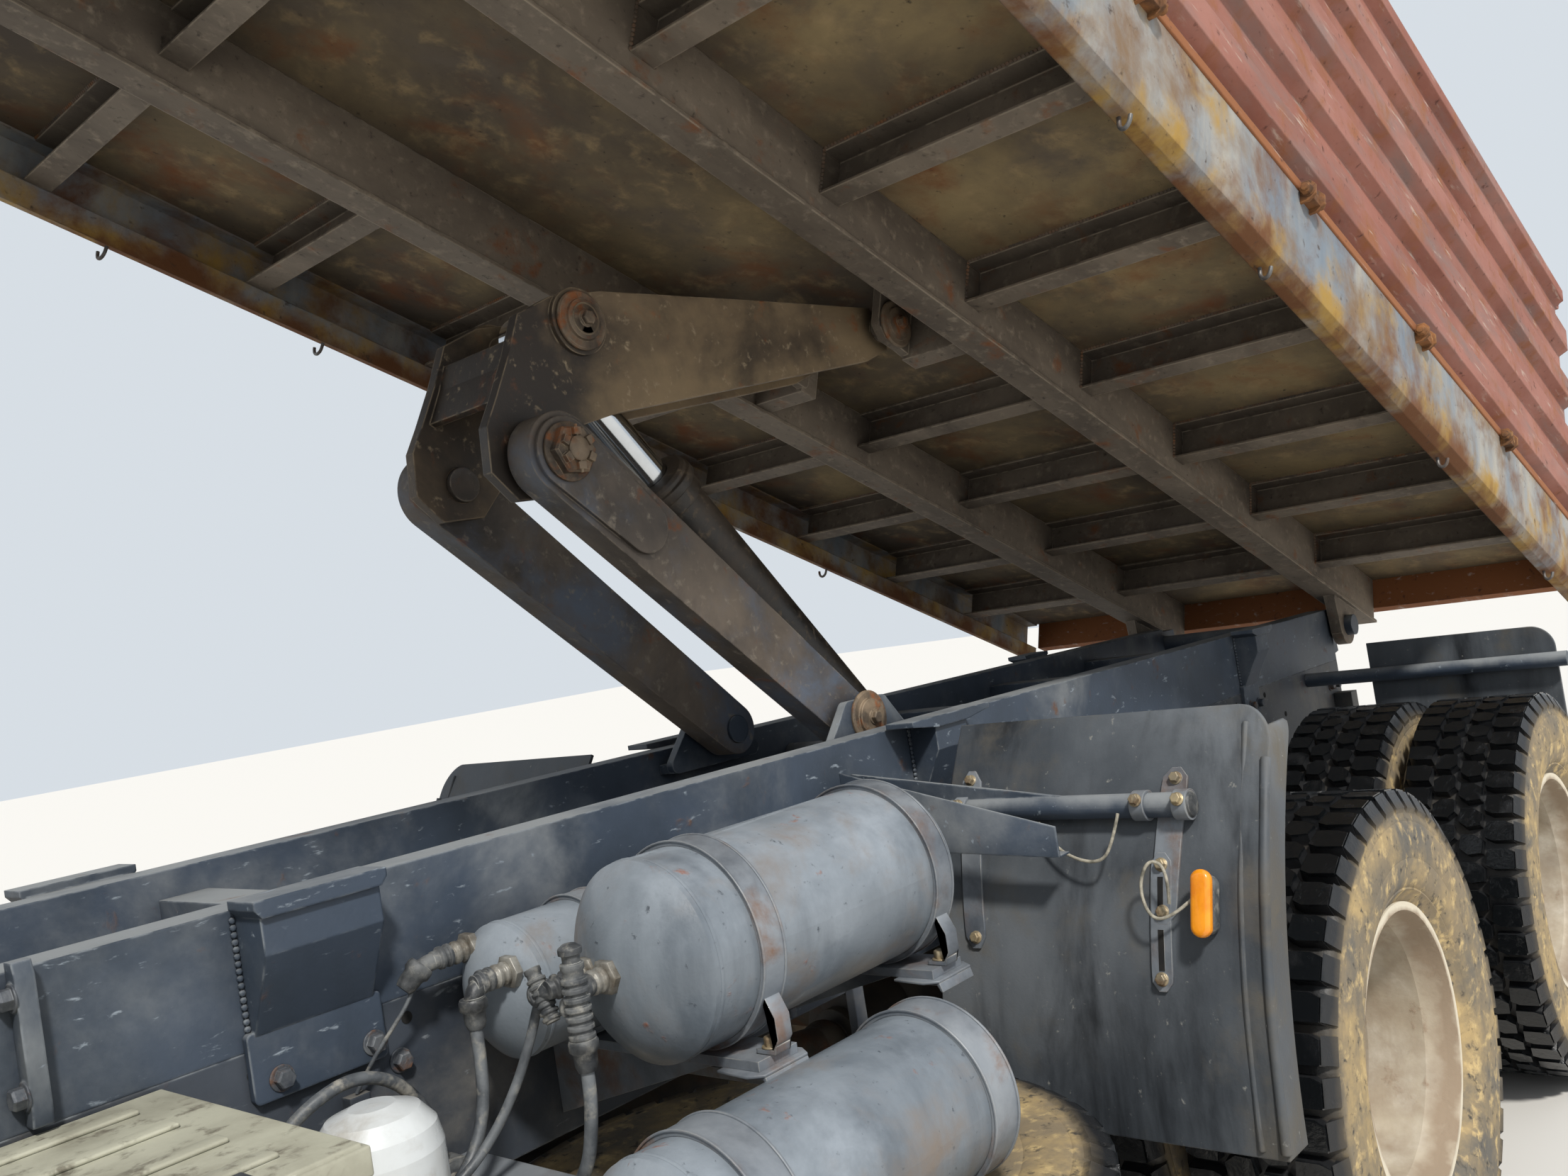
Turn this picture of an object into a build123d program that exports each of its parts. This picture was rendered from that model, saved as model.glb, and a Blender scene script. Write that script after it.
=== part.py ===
from build123d import *
import math
import os

os.makedirs("parts", exist_ok=True)

# Places. X points to the front, Y to the left, Z up, millimetres. Drawing X is
# counted from the first drive axle; SHIFT_X then centres the whole vehicle.
SHIFT_X = -1076.563
FRONT_AXLE_X = 3775.0
REAR_AXLE_X = -1400.0
BOGIE_X = -700.0
TYRE_R = 525.0
TYRE_HALF_W = 153.0
REAR_OUTER_Y = 1095.0
REAR_INNER_Y = 745.0
FRONT_WHEEL_Y = 1015.0
KINGPIN_Y = 838.0

# Frame and subframe
RAIL_OUT_Y = 376.0
RAIL_IN_Y = 300.0
FRAME_Z0 = 816.0
FRAME_Z1 = 1116.0
SUB_Z1 = 1306.0
SUB_IN_Y = 296.0
SUB_WALL = 7.0
RAIL_WALL = 9.0
FRAME_REAR_X = -2330.0
FRAME_FRONT_X = FRONT_AXLE_X + 1165.0
ENGINE_REAR_X = FRONT_AXLE_X - 975.0
SUB_FRONT_X = 2300.0
SEAT = 0.3
FRAME_SEAT = RAIL_OUT_Y + SEAT

# Bed, drawn lowered, then turned about its rear hinge
HINGE_X = -2364.0
HINGE_Z = 1237.0
TILT = 21.1
BED_Z = 1320.3
BED_REAR_X = -2640.0
BED_FRONT_X = 2880.0
BED_UNDER_H = 176.0
BED_TOP_H = 1250.0
BED_HALF_OUT = 1166.0
BED_HALF_IN = BED_HALF_OUT - 66.0
CROSS_PITCH = 553.0
CROSS_REAR_X = -2110.0

# Hoist pins in the raised pose, as (x, z)
ARM_FOOT = (365.0, 1329.0)
ARM_HEAD = (1105.0, 1955.0)
ROD_PIN = (950.0, 2240.0)
NOSE_PIN = (-80.0, 2290.0)
RAM_FOOT = (20.0, 1212.0)

# Cab
CAB_REAR_X = FRONT_AXLE_X - 700.0
CAB_FRONT_X = FRONT_AXLE_X + 1425.0
CAB_Z0 = 1130.0
CAB_Z1 = 2950.0
CAB_HALF = 1230.0
DOOR_FRONT_X = CAB_FRONT_X - 210.0
DOOR_REAR_X = DOOR_FRONT_X - 1000.0
WALL = 60.0
CAB_PIVOT = (CAB_FRONT_X - 125.0, 950.0)
DOOR_HINGE = (DOOR_FRONT_X - 43.0, CAB_HALF + 10.0)


def box(x0, x1, y0, y1, z0, z1):
    size = Box(abs(x1 - x0), abs(y1 - y0), abs(z1 - z0))
    return Pos((x0 + x1) / 2, (y0 + y1) / 2, (z0 + z1) / 2) * size


def rod_y(x, z, r, y0, y1):
    return Pos(x, (y0 + y1) / 2, z) * Rot(90, 0, 0) * Cylinder(r, abs(y1 - y0))


def rod_x(y, z, r, x0, x1):
    return Pos((x0 + x1) / 2, y, z) * Rot(0, 90, 0) * Cylinder(r, abs(x1 - x0))


def rod_z(x, y, r, z0, z1):
    return Pos(x, y, (z0 + z1) / 2) * Cylinder(r, abs(z1 - z0))


def plate_xz(points, y0, y1):
    face = make_face(Plane.XZ * Polyline(*points, close=True))
    return Pos(0, max(y0, y1), 0) * extrude(face, abs(y1 - y0), dir=(0, -1, 0))


def plate_yz(points, x0, x1):
    face = make_face(Plane.YZ * Polyline(*points, close=True))
    return Pos(min(x0, x1), 0, 0) * extrude(face, abs(x1 - x0), dir=(1, 0, 0))


def turned_y(profile, y):
    # profile rows are (radius, offset along Y)
    face = make_face(Polyline(*profile, close=True))
    return Pos(0, y, 0) * revolve(face, Axis.Y, 360)


def mirrored(shape):
    return mirror(shape, about=Plane.XZ)


def rounded(points, r):
    # polygon with every corner rounded
    face = make_face(Polyline(*points, close=True))
    return fillet(face.vertices(), r)


def side_prism(points, r, y0, y1):
    # rounded outline in X and Z, extruded across Y
    return Pos(0, max(y0, y1), 0) * extrude(Plane.XZ * rounded(points, r), abs(y1 - y0), dir=(0, -1, 0))


def rail_prism(points, r, x0, x1):
    # rounded outline in Y and Z, extruded along X
    return Pos(min(x0, x1), 0, 0) * extrude(Plane.YZ * rounded(points, r), abs(x1 - x0), dir=(1, 0, 0))


def link_xz(a, b, ra, rb, y0, y1):
    # flat link: two round ends joined by their outer tangents
    dx = b[0] - a[0]
    dz = b[1] - a[1]
    span = math.hypot(dx, dz)
    base = math.atan2(dz, dx)
    lean = math.acos((ra - rb) / span)
    pts = []
    for centre, r, side in ((a, ra, 1), (b, rb, 1), (b, rb, -1), (a, ra, -1)):
        ang = base + side * lean
        pts.append((centre[0] + r * math.cos(ang), centre[1] + r * math.sin(ang)))
    web = plate_xz(pts, y0, y1)
    return web + rod_y(a[0], a[1], ra, y0, y1) + rod_y(b[0], b[1], rb, y0, y1)


def save(name, shapes, raised=False):
    solids = shapes if isinstance(shapes, list) else [shapes]
    out = []
    for shape in solids:
        if raised:
            shape = Pos(HINGE_X, 0, HINGE_Z) * Rot(0, -TILT, 0) * Pos(-HINGE_X, 0, -HINGE_Z) * shape
        out.append(Pos(SHIFT_X, 0, 0) * shape)
    whole = out[0] if len(out) == 1 else Compound(children=out)
    export_step(whole, "parts/" + name + ".step")


# Tyre and wheel profiles, shared by every wheel
TYRE = [
    (288.5, -108), (300, -112), (322, -138), (420, -TYRE_HALF_W), (492, -148),
    (525, -126), (525, 126), (492, 148), (420, TYRE_HALF_W), (322, 138),
    (300, 112), (288.5, 108),
]


STUD_PCD = 335.0
STUD_R = 11.0
NUT_R = 16.0


def rim_barrel(y):
    ring = [
        (288, -110), (297, -114), (297, -124), (280, -124), (274, -100),
        (262, -60), (262, 60), (274, 100), (280, 124), (297, 124), (297, 114),
        (288, 110), (288, 80), (272, 55), (272, -55), (288, -80),
    ]
    return turned_y(ring, y)


def dual_rims():
    outer = rim_barrel(REAR_OUTER_Y)
    inner = rim_barrel(REAR_INNER_Y)
    cone_out = turned_y([(275, 84), (275, 98), (190, 18), (90, 18), (90, 4), (197, 4)], 920)
    cone_in = turned_y([(275, -84), (275, -98), (190, -18), (90, -18), (90, -4), (197, -4)], 920)
    drum = turned_y([(60, -262), (205, -262), (205, -30), (120, -10), (100, -4), (100, 18),
                     (112, 60), (112, 130), (70, 140), (0.5, 140), (0.5, -200), (60, -200)], 920)
    body = outer + inner + cone_out + cone_in + drum
    for i in range(8):
        a = math.radians(45 * i + 22.5)
        body -= rod_y(232 * math.cos(a), 232 * math.sin(a), 21, 1010, 830)
    for i in range(10):
        a = math.radians(36 * i)
        x, z = STUD_PCD / 2 * math.cos(a), STUD_PCD / 2 * math.sin(a)
        body += rod_y(x, z, NUT_R, 937, 960) + rod_y(x, z, STUD_R, 960, 988)
    return body


def front_rim():
    ring = rim_barrel(FRONT_WHEEL_Y)
    cone = turned_y([(275, -39), (275, -25), (190, 17), (90, 17), (90, 3), (197, 3)], 1120)
    drum = turned_y([(46, -200), (205, -200), (205, -30), (120, -10), (100, 3), (100, 17),
                     (104, 50), (80, 66), (0.5, 66), (0.5, -90), (46, -90)], 1120)
    body = ring + cone + drum
    for i in range(8):
        a = math.radians(45 * i + 22.5)
        body -= rod_y(232 * math.cos(a), 232 * math.sin(a), 21, 1180, 1060)
    for i in range(10):
        a = math.radians(36 * i)
        x, z = STUD_PCD / 2 * math.cos(a), STUD_PCD / 2 * math.sin(a)
        body += rod_y(x, z, NUT_R, 1136, 1159) + rod_y(x, z, STUD_R, 1159, 1180)
    return body


# Wheels
tyre_at_0 = turned_y(TYRE, 0)
duals = dual_rims()
single = front_rim()
for place, axle_x in (("a", 0.0), ("b", REAR_AXLE_X)):
    pair = [Pos(axle_x, y, TYRE_R) * tyre_at_0 for y in (REAR_OUTER_Y, REAR_INNER_Y)]
    hub = Pos(axle_x, 0, TYRE_R) * duals
    save("tyres_" + place + "_left", pair)
    save("rims_" + place + "_left", hub)
    save("tyres_" + place + "_right", [mirrored(t) for t in pair])
    save("rims_" + place + "_right", mirrored(hub))
front_tyre = Pos(FRONT_AXLE_X, FRONT_WHEEL_Y, TYRE_R) * tyre_at_0
front_hub = Pos(FRONT_AXLE_X, 0, TYRE_R) * single
save("tyre_front_left", front_tyre)
save("rim_front_left", front_hub)
save("tyre_front_right", mirrored(front_tyre))
save("rim_front_right", mirrored(front_hub))

# Knuckles: yoke on the kingpin, backing plate and spindle
yoke = rod_z(FRONT_AXLE_X, KINGPIN_Y, 52, 604, 650) + rod_z(FRONT_AXLE_X, KINGPIN_Y, 52, 400, 446)
yoke += box(FRONT_AXLE_X - 50, FRONT_AXLE_X + 50, KINGPIN_Y + 10, 900, 604, 650)
yoke += box(FRONT_AXLE_X - 50, FRONT_AXLE_X + 50, KINGPIN_Y + 10, 900, 400, 446)
yoke += box(FRONT_AXLE_X - 50, FRONT_AXLE_X + 50, KINGPIN_Y + 58, 905, 400, 650)
yoke += rod_y(FRONT_AXLE_X, TYRE_R, 195, 896, 910)
yoke += rod_y(FRONT_AXLE_X, TYRE_R, 46 - SEAT, 905, 1020)
save("knuckle_left", yoke)
save("knuckle_right", mirrored(yoke))

# Front axle beam with kingpin bosses, rear axle housings with diffs
beam = box(FRONT_AXLE_X - 50, FRONT_AXLE_X + 50, -520, 520, 430, 540)
for s in (1, -1):
    beam += plate_yz([(s * 500, 430), (s * 500, 540), (s * (KINGPIN_Y - 20), 590),
                      (s * (KINGPIN_Y - 20), 460)], FRONT_AXLE_X - 45, FRONT_AXLE_X + 45)
    beam += rod_z(FRONT_AXLE_X, s * KINGPIN_Y, 50, 446 + SEAT, 604 - SEAT)
axles = [beam]
for x in (0.0, REAR_AXLE_X):
    house = rod_y(x, TYRE_R, 78, -640, 640)
    house += Pos(x, 0, TYRE_R) * Sphere(215)
    house += rod_x(0, TYRE_R + 40, 105, x, x + 330)
    house += rod_x(0, TYRE_R + 40, 80, x - 260, x)
    for s in (1, -1):
        house += rod_y(x, TYRE_R, 198, s * 630, s * 646)
        house += rod_y(x, TYRE_R, 60 - SEAT, s * 640, s * 715)
        house += box(x - 70, x + 70, s * 440, s * 550, TYRE_R, 641 - SEAT)
    axles.append(house)
save("axles", axles)

# Leaf springs: arched front packs, inverted rear packs on a trunnion
springs = []
for s in (1, -1):
    pack = None
    for i in range(6):
        half = 760 - 105 * i
        leaf = box(FRONT_AXLE_X - half, FRONT_AXLE_X + half, s * 300, s * 376, 626 - 16 * i, 642 - 16 * i)
        pack = leaf if pack is None else pack + leaf
    pack += box(FRONT_AXLE_X - 60, FRONT_AXLE_X + 60, s * 296, s * 380, 540.5, 560)
    pack += box(FRONT_AXLE_X + 700, FRONT_AXLE_X + 760, s * 306, s * 370, 642, 815.5)
    pack += box(FRONT_AXLE_X - 760, FRONT_AXLE_X - 700, s * 306, s * 370, 642, 815.5)
    springs.append(pack)
    pack = None
    for i in range(7):
        half = 770 - 90 * i
        leaf = box(BOGIE_X - half, BOGIE_X + half, s * 450, s * 540, 641 + 17 * i, 658 + 17 * i)
        pack = leaf if pack is None else pack + leaf
    pack += rod_y(BOGIE_X, 690, 95, s * 380, s * 560)
    pack += plate_xz([(BOGIE_X - 170, 1050), (BOGIE_X + 170, 1050), (BOGIE_X + 90, 700),
                      (BOGIE_X - 90, 700)], s * FRAME_SEAT, s * 425)
    springs.append(pack)
save("leaf_springs", springs)

# Prop shafts: flange, joint and tube between two faces, rows of x0, z0, x1, z1
shafts = []
for x0, z0, x1, z1 in ((330, 565, ENGINE_REAR_X, 850), (-1070, 565, -260, 565)):
    a = (x0 + 70, z0)
    b = (x1 - 70, z1)
    length = math.hypot(b[0] - a[0], b[1] - a[1])
    lean = math.degrees(math.atan2(b[1] - a[1], b[0] - a[0]))
    shaft = Pos((a[0] + b[0]) / 2, 0, (a[1] + b[1]) / 2) * Rot(0, 90 - lean, 0) * Cylinder(48, length)
    shaft += rod_x(0, z0, 70, x0, x0 + 25) + rod_x(0, z1, 70, x1 - 25, x1)
    shaft += rod_x(0, z0, 42, x0, a[0]) + rod_x(0, z1, 42, b[0], x1)
    shaft += Pos(a[0], 0, a[1]) * Sphere(58)
    shaft += Pos(b[0], 0, b[1]) * Sphere(58)
    shafts.append(shaft)
save("prop_shafts", shafts)

# Ladder frame: two channels
rails = []
for s in (1, -1):
    rail = box(FRAME_REAR_X, FRAME_FRONT_X, s * RAIL_IN_Y, s * RAIL_OUT_Y, FRAME_Z0, FRAME_Z1)
    rail -= box(FRAME_REAR_X - 5, FRAME_FRONT_X + 5, s * (RAIL_IN_Y - 5), s * (RAIL_OUT_Y - RAIL_WALL),
                FRAME_Z0 + RAIL_WALL, FRAME_Z1 - RAIL_WALL)
    rails.append(rail)
save("frame_rails", rails)

# Cross-members between the channels, rear drawbar plate, cab rests and pivot brackets
crosses = []
CROSS_END = RAIL_OUT_Y - RAIL_WALL - SEAT
for x in (-2250, REAR_AXLE_X, 0, 1150, SUB_FRONT_X, FRAME_FRONT_X - 80):
    cross = box(x - 55, x + 55, -CROSS_END, CROSS_END, FRAME_Z0 + 60, FRAME_Z1 - 30)
    cross -= box(x - 47, x + 60, -RAIL_OUT_Y, RAIL_OUT_Y, FRAME_Z0 + 68, FRAME_Z1 - 38)
    crosses.append(cross)
crosses.append(rod_y(BOGIE_X, 900, 60, -CROSS_END, CROSS_END))
plate = box(FRAME_REAR_X - 12 - SEAT, FRAME_REAR_X - SEAT, -372, 372, FRAME_Z0 + 10, FRAME_Z1 - 10)
for y in (-80, 80):
    for z in (880, 980):
        plate -= rod_x(y, z, 8.5, FRAME_REAR_X - 20, FRAME_REAR_X + 5)
crosses.append(plate)
for s in (1, -1):
    crosses.append(box(CAB_REAR_X + 35, CAB_REAR_X + 115, s * 330, s * 440, FRAME_Z1 + SEAT, CAB_Z0 - SEAT))
    bracket = box(FRAME_FRONT_X + SEAT, CAB_PIVOT[0] + 50, s * 346, s * RAIL_OUT_Y, 880, 1000)
    bracket += rod_y(CAB_PIVOT[0], CAB_PIVOT[1], 20, s * 346, s * 418)
    crosses.append(bracket)
save("frame_crosses", crosses)

# Tipper subframe: two box rails with the rear hinge plates
HINGE_BORE = 38.0 + SEAT
sub = []
for s in (1, -1):
    rail = box(FRAME_REAR_X, SUB_FRONT_X, s * SUB_IN_Y, s * RAIL_OUT_Y, FRAME_Z1 + SEAT, SUB_Z1)
    rail -= box(FRAME_REAR_X - 5, SUB_FRONT_X + 5, s * (SUB_IN_Y + SUB_WALL), s * (RAIL_OUT_Y - SUB_WALL),
                FRAME_Z1 + SUB_WALL, SUB_Z1 - SUB_WALL)
    rail += plate_xz([(-2470, HINGE_Z - 100), (-2330, FRAME_Z1 + SEAT), (-2180, FRAME_Z1 + SEAT),
                      (-2180, SUB_Z1 - 60), (-2330, SUB_Z1 - 10), (-2440, SUB_Z1 - 10)], s * 300, s * 340)
    rail -= rod_y(HINGE_X, HINGE_Z, HINGE_BORE, s * 290, s * 380)
    sub.append(rail)
save("subframe", sub)

# Subframe cross-members, hinge tube, ram foot shaft and the feet of the hoist arms
joins = []
for x in (-1700, -1050, -420, 1700, 2240):
    joins.append(box(x - 45, x + 45, -SUB_IN_Y + SEAT, SUB_IN_Y - SEAT, FRAME_Z1 + 10, SUB_Z1 - 50))
joins.append(rod_y(-150, 1190, 45, -SUB_IN_Y + SEAT, SUB_IN_Y - SEAT))
joins.append(rod_y(RAM_FOOT[0], RAM_FOOT[1], 30, -SUB_IN_Y + SEAT, SUB_IN_Y - SEAT))
joins.append(rod_y(HINGE_X, HINGE_Z, 38, -452, 452))
for s in (1, -1):
    foot = side_prism([(ARM_FOOT[0] - 180, SUB_Z1 - 60), (ARM_FOOT[0] + 180, SUB_Z1 - 60),
                       (ARM_FOOT[0] + 70, ARM_FOOT[1] + 45), (ARM_FOOT[0] - 70, ARM_FOOT[1] + 45)],
                      20, s * 240, s * 262)
    foot += box(ARM_FOOT[0] - 150, ARM_FOOT[0] + 150, s * 250, s * (SUB_IN_Y - SEAT), SUB_Z1 - 58, SUB_Z1 - 35)
    foot += rod_y(ARM_FOOT[0], ARM_FOOT[1], 34, s * 150, s * 262)
    joins.append(foot)
save("subframe_crosses", joins)

# Body rest brackets on the subframe's outer faces: rows of place along X, half the
# head's length and half the web's length
REST_ROWS = ((1838.0, 98.0, 88.0), (315.0, 150.0, 60.0), (-1480.0, 80.0, 48.0))
rests = []
for x, head_half, web_half in REST_ROWS:
    for s in (1, -1):
        arm = plate_yz([(s * FRAME_SEAT, FRAME_Z1 + 20), (s * FRAME_SEAT, SUB_Z1), (s * 450, SUB_Z1),
                        (s * 450, SUB_Z1 - 60), (s * 390, FRAME_Z1 + 20)], x - web_half, x + web_half)
        arm += side_prism([(x - head_half, SUB_Z1 + 14), (x - head_half, SUB_Z1 + 2), (x - web_half, SUB_Z1 - 10),
                           (x + web_half, SUB_Z1 - 10), (x + head_half, SUB_Z1 + 2), (x + head_half, SUB_Z1 + 14)],
                          1, s * 385, s * 458)
        arm += side_prism([(x - web_half - 12, FRAME_Z1 - 70), (x + web_half + 12, FRAME_Z1 - 70),
                           (x + web_half + 12, FRAME_Z1 + 25), (x - web_half - 12, FRAME_Z1 + 25)],
                          8, s * FRAME_SEAT, s * 389)
        rests.append(arm)
save("body_rests", rests)

# Engine and gearbox as one plain block
block = box(ENGINE_REAR_X, ENGINE_REAR_X + 1820, -270, 270, 760, 1100)
block += box(ENGINE_REAR_X + 500, ENGINE_REAR_X + 1760, -290, 290, 1100, 1500)
for x in (ENGINE_REAR_X + 600, ENGINE_REAR_X + 1500):
    block += box(x, x + 90, -CROSS_END, CROSS_END, FRAME_Z0 + RAIL_WALL + SEAT, 890)
save("engine_block", block)

# Right side fuel tank, left side battery box
BOX_OUT_Y = 850.0
tank = Pos(1850, -690, 850) * Rot(0, 90, 0) * Cylinder(290, 1150)
tank = fillet(tank.edges(), 25)
tank += box(1500, 1560, -420, -FRAME_SEAT, 700, 1100)
tank += box(2140, 2200, -420, -FRAME_SEAT, 700, 1100)
save("fuel_tank", tank)
save("battery_box", rail_prism([(FRAME_SEAT, 700), (BOX_OUT_Y, 700), (BOX_OUT_Y, 1100), (FRAME_SEAT, 1100)], 14, 2060, 2760))

# Air tanks: outer and inner above, one lower outboard, as rows of x0, x1, y, z, r
TANK_ROWS = [
    (930, 1610, 745, 1142, 141),
    (960, 1640, 487, 1101, 100),
    (1150, 1800, 930, 855, 125),
]
DOME = 0.45
tanks = []
for x0, x1, y, z, r in TANK_ROWS:
    depth = DOME * r
    ball = r * (1 + DOME * DOME) / (2 * DOME)
    half = math.asin(r / ball) / 2
    sag = ball * (1 - math.cos(half))
    rise = ball * math.sin(half)
    profile = make_face(Plane.XY * Wire([
        ThreePointArc((x0 + depth, r), (x0 + sag, rise), (x0, 0)),
        Line((x0, 0), (x1, 0)),
        ThreePointArc((x1, 0), (x1 - sag, rise), (x1 - depth, r)),
        Line((x1 - depth, r), (x0 + depth, r)),
    ]))
    tanks.append(Pos(0, y, z) * revolve(profile, Axis.X, 360))
save("air_tanks", tanks)

# Shelf, gusset and steel bands at each pair of straps
straps = []
for x in (1030, 1440):
    shelf = box(x - 40, x + 40, FRAME_SEAT, 870, 980, 994)
    shelf += plate_yz([(FRAME_SEAT, 981), (FRAME_SEAT, 850), (800, 981)], x - 4, x + 4)
    for x0, x1, y, z, r in TANK_ROWS[:2]:
        shelf += rod_x(y, z, r + 7, x - 22, x + 22) - rod_x(y, z, r + SEAT, x - 30, x + 30)
    straps.append(shelf)
for x in (1200, 1650):
    x0, x1, y, z, r = TANK_ROWS[2]
    ring = rod_x(y, z, r + 7, x - 30, x + 30) - rod_x(y, z, r + SEAT, x - 40, x + 40)
    ring += box(x - 30, x + 30, FRAME_SEAT, y - r - 4, z - 12, z + 6)
    straps.append(ring)
save("tank_straps", straps)

# Air dryer: a domed canister on a valve body, and its bracket to the frame
DRYER = (1870.0, 560.0)
dryer = turned_y([(0.5, 740), (62, 740), (70, 752), (70, 850), (84, 858), (84, 985), (78, 1012), (60, 1034),
                  (30, 1045), (0.5, 1046)], 0)
dryer = Pos(*DRYER, 0) * Rot(90, 0, 0) * dryer
dryer += box(DRYER[0] - 50, DRYER[0] + 50, FRAME_SEAT, DRYER[1] - 55, 860, 960)
save("air_dryer", dryer)

# Silencer on the right, behind the cab
silencer = rail_prism([(-BOX_OUT_Y, 620), (-400, 620), (-400, 1000), (-BOX_OUT_Y, 1000)], 90, 2560, 2980)
silencer += box(2600, 2700, -420, -FRAME_SEAT, 800, 1000)
save("silencer", silencer)

# Quarter mudguards before the first drive wheels, flaps behind the second
GUARD_C = (-596.5, 565.8)
GUARD_R = 1297.0
GUARD_WALL = 8.0
GUARD_IN_Y = 590.0
GUARD_OUT_Y = 1240.0
GUARD_LOW_DEG = 1.5
GUARD_TOP_DEG = 34.6
FLAP_X = REAR_AXLE_X - 634.0


def guard_at(r, deg):
    a = math.radians(deg)
    return (GUARD_C[0] + r * math.cos(a), GUARD_C[1] + r * math.sin(a))


def guard_face(r0, r1):
    middle = (GUARD_LOW_DEG + GUARD_TOP_DEG) / 2
    low0, mid0, top0 = [guard_at(r0, d) for d in (GUARD_LOW_DEG, middle, GUARD_TOP_DEG)]
    low1, mid1, top1 = [guard_at(r1, d) for d in (GUARD_LOW_DEG, middle, GUARD_TOP_DEG)]
    edges = [ThreePointArc(low0, mid0, top0), Line(top0, top1), ThreePointArc(top1, mid1, low1), Line(low1, low0)]
    return make_face(Plane.XZ * Wire(edges))


def rounded_top(y0, y1, z0, z1, x0, x1):
    # a panel across X with its upper outer corner rounded
    face = make_face(Polyline((y0, z0), (y1, z0), (y1, z1), (y0, z1), close=True))
    corner = face.vertices().sort_by(lambda v: v.X + v.Y)[-1]
    return Pos(x0, 0, 0) * extrude(Plane.YZ * fillet(corner, GUARD_CORNER), x1 - x0, dir=(1, 0, 0))


GUARD_CORNER = 70.0
guards = []
for s in (1, -1):
    shell = extrude(guard_face(GUARD_R, GUARD_R + GUARD_WALL), GUARD_OUT_Y - GUARD_IN_Y, dir=(0, 1, 0))
    shell = Pos(0, GUARD_IN_Y, 0) * shell
    lip = extrude(guard_face(GUARD_R - 70, GUARD_R + 1), GUARD_WALL, dir=(0, 1, 0))
    shell += Pos(0, GUARD_OUT_Y - GUARD_WALL, 0) * lip
    shell &= rounded_top(GUARD_IN_Y, GUARD_OUT_Y, guard_at(GUARD_R, 0)[1] - 40, guard_at(GUARD_R + 9, GUARD_TOP_DEG)[1],
                         400, 760)
    flap = rounded_top(GUARD_IN_Y, 1165, 420, 1188, FLAP_X - 6, FLAP_X + 6)
    guards.append(shell if s > 0 else mirrored(shell))
    guards.append(flap if s > 0 else mirrored(flap))
save("mudguards", guards)
STAY_R = 22.0
STAY_X, STAY_Z = guard_at(GUARD_R + GUARD_WALL + STAY_R + SEAT, 26.3)
stays = []
for s in (1, -1):
    stay = rod_y(STAY_X, STAY_Z, STAY_R, s * 620, s * 1112)
    stay += plate_yz([(s * FRAME_SEAT, FRAME_Z1 + 120), (s * FRAME_SEAT, FRAME_Z1 + 15), (s * 880, STAY_Z - 20),
                      (s * 880, STAY_Z + 20)], STAY_X - 4, STAY_X + 4)
    stays.append(stay)
    stays.append(rod_y(FLAP_X + 6 + SEAT + 24, 1080, 24, s * FRAME_SEAT, s * 1200))
save("mudguard_stays", stays)

# Rear bar, lamps
bar = box(-2300, -2180, -1150, 1150, 480, 600)
for s in (1, -1):
    bar += box(-2300, -2240, s * 380, s * 440, 600, 1000)
    bar += box(-2300, -2240, s * 376.5, s * 440, 830, 1000)
save("rear_bar", bar)
LAMP_DEG = 19.0
lamps = []
for s in (1, -1):
    lamps.append(box(-2345, -2300, s * 780, s * 1120, 480, 600))
    lamp_x, lamp_z = guard_at(GUARD_R + GUARD_WALL + SEAT + 20, LAMP_DEG)
    lamp = Pos(20, 0, 0) * Box(22, 36, 112) + Pos(0, 0, 0) * Box(40, 20, 40)
    lamps.append(Pos(lamp_x, s * 1146, lamp_z) * Rot(0, -LAMP_DEG, 0) * lamp)
save("lamps", lamps)

# Front bumper with headlamps, tied to the cab's front and width
BUMPER_X0 = CAB_FRONT_X - 50
BUMPER_OUT = 108.658
BUMPER_X1 = CAB_FRONT_X + BUMPER_OUT
BUMPER_HALF = CAB_HALF + 10
LAMP_Y0 = BUMPER_HALF - 440
LAMP_Y1 = BUMPER_HALF - 120
bumper = side_prism([(BUMPER_X0, 380), (BUMPER_X1 - 50, 380), (BUMPER_X1, 450), (BUMPER_X1, 750),
                     (BUMPER_X1 - 30, 790), (BUMPER_X0, 790)], 12, -BUMPER_HALF, BUMPER_HALF)
for s in (1, -1):
    bumper += box(BUMPER_X0 - 450, BUMPER_X0 + 1, s * (BUMPER_HALF - 60), s * BUMPER_HALF, 420, 780)
    bumper += box(BUMPER_X0 - 210, BUMPER_X0 + 1, s * 310, s * 370, 600, 780)
    bumper += box(BUMPER_X0 - 350, BUMPER_X0 - 150, s * 310, s * 370, 600, FRAME_Z0 - SEAT)
    bumper -= box(BUMPER_X1 - 40, BUMPER_X1 + 10, s * LAMP_Y0, s * LAMP_Y1, 520, 680)
bumper -= rod_x(420, 560, 20, BUMPER_X1 - 100, BUMPER_X1 + 5)
save("bumper", bumper)
save("headlamps", [box(BUMPER_X1 - 40, BUMPER_X1 - 4, s * (LAMP_Y0 + 5), s * (LAMP_Y1 - 5), 525, 675)
                   for s in (1, -1)])

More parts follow.
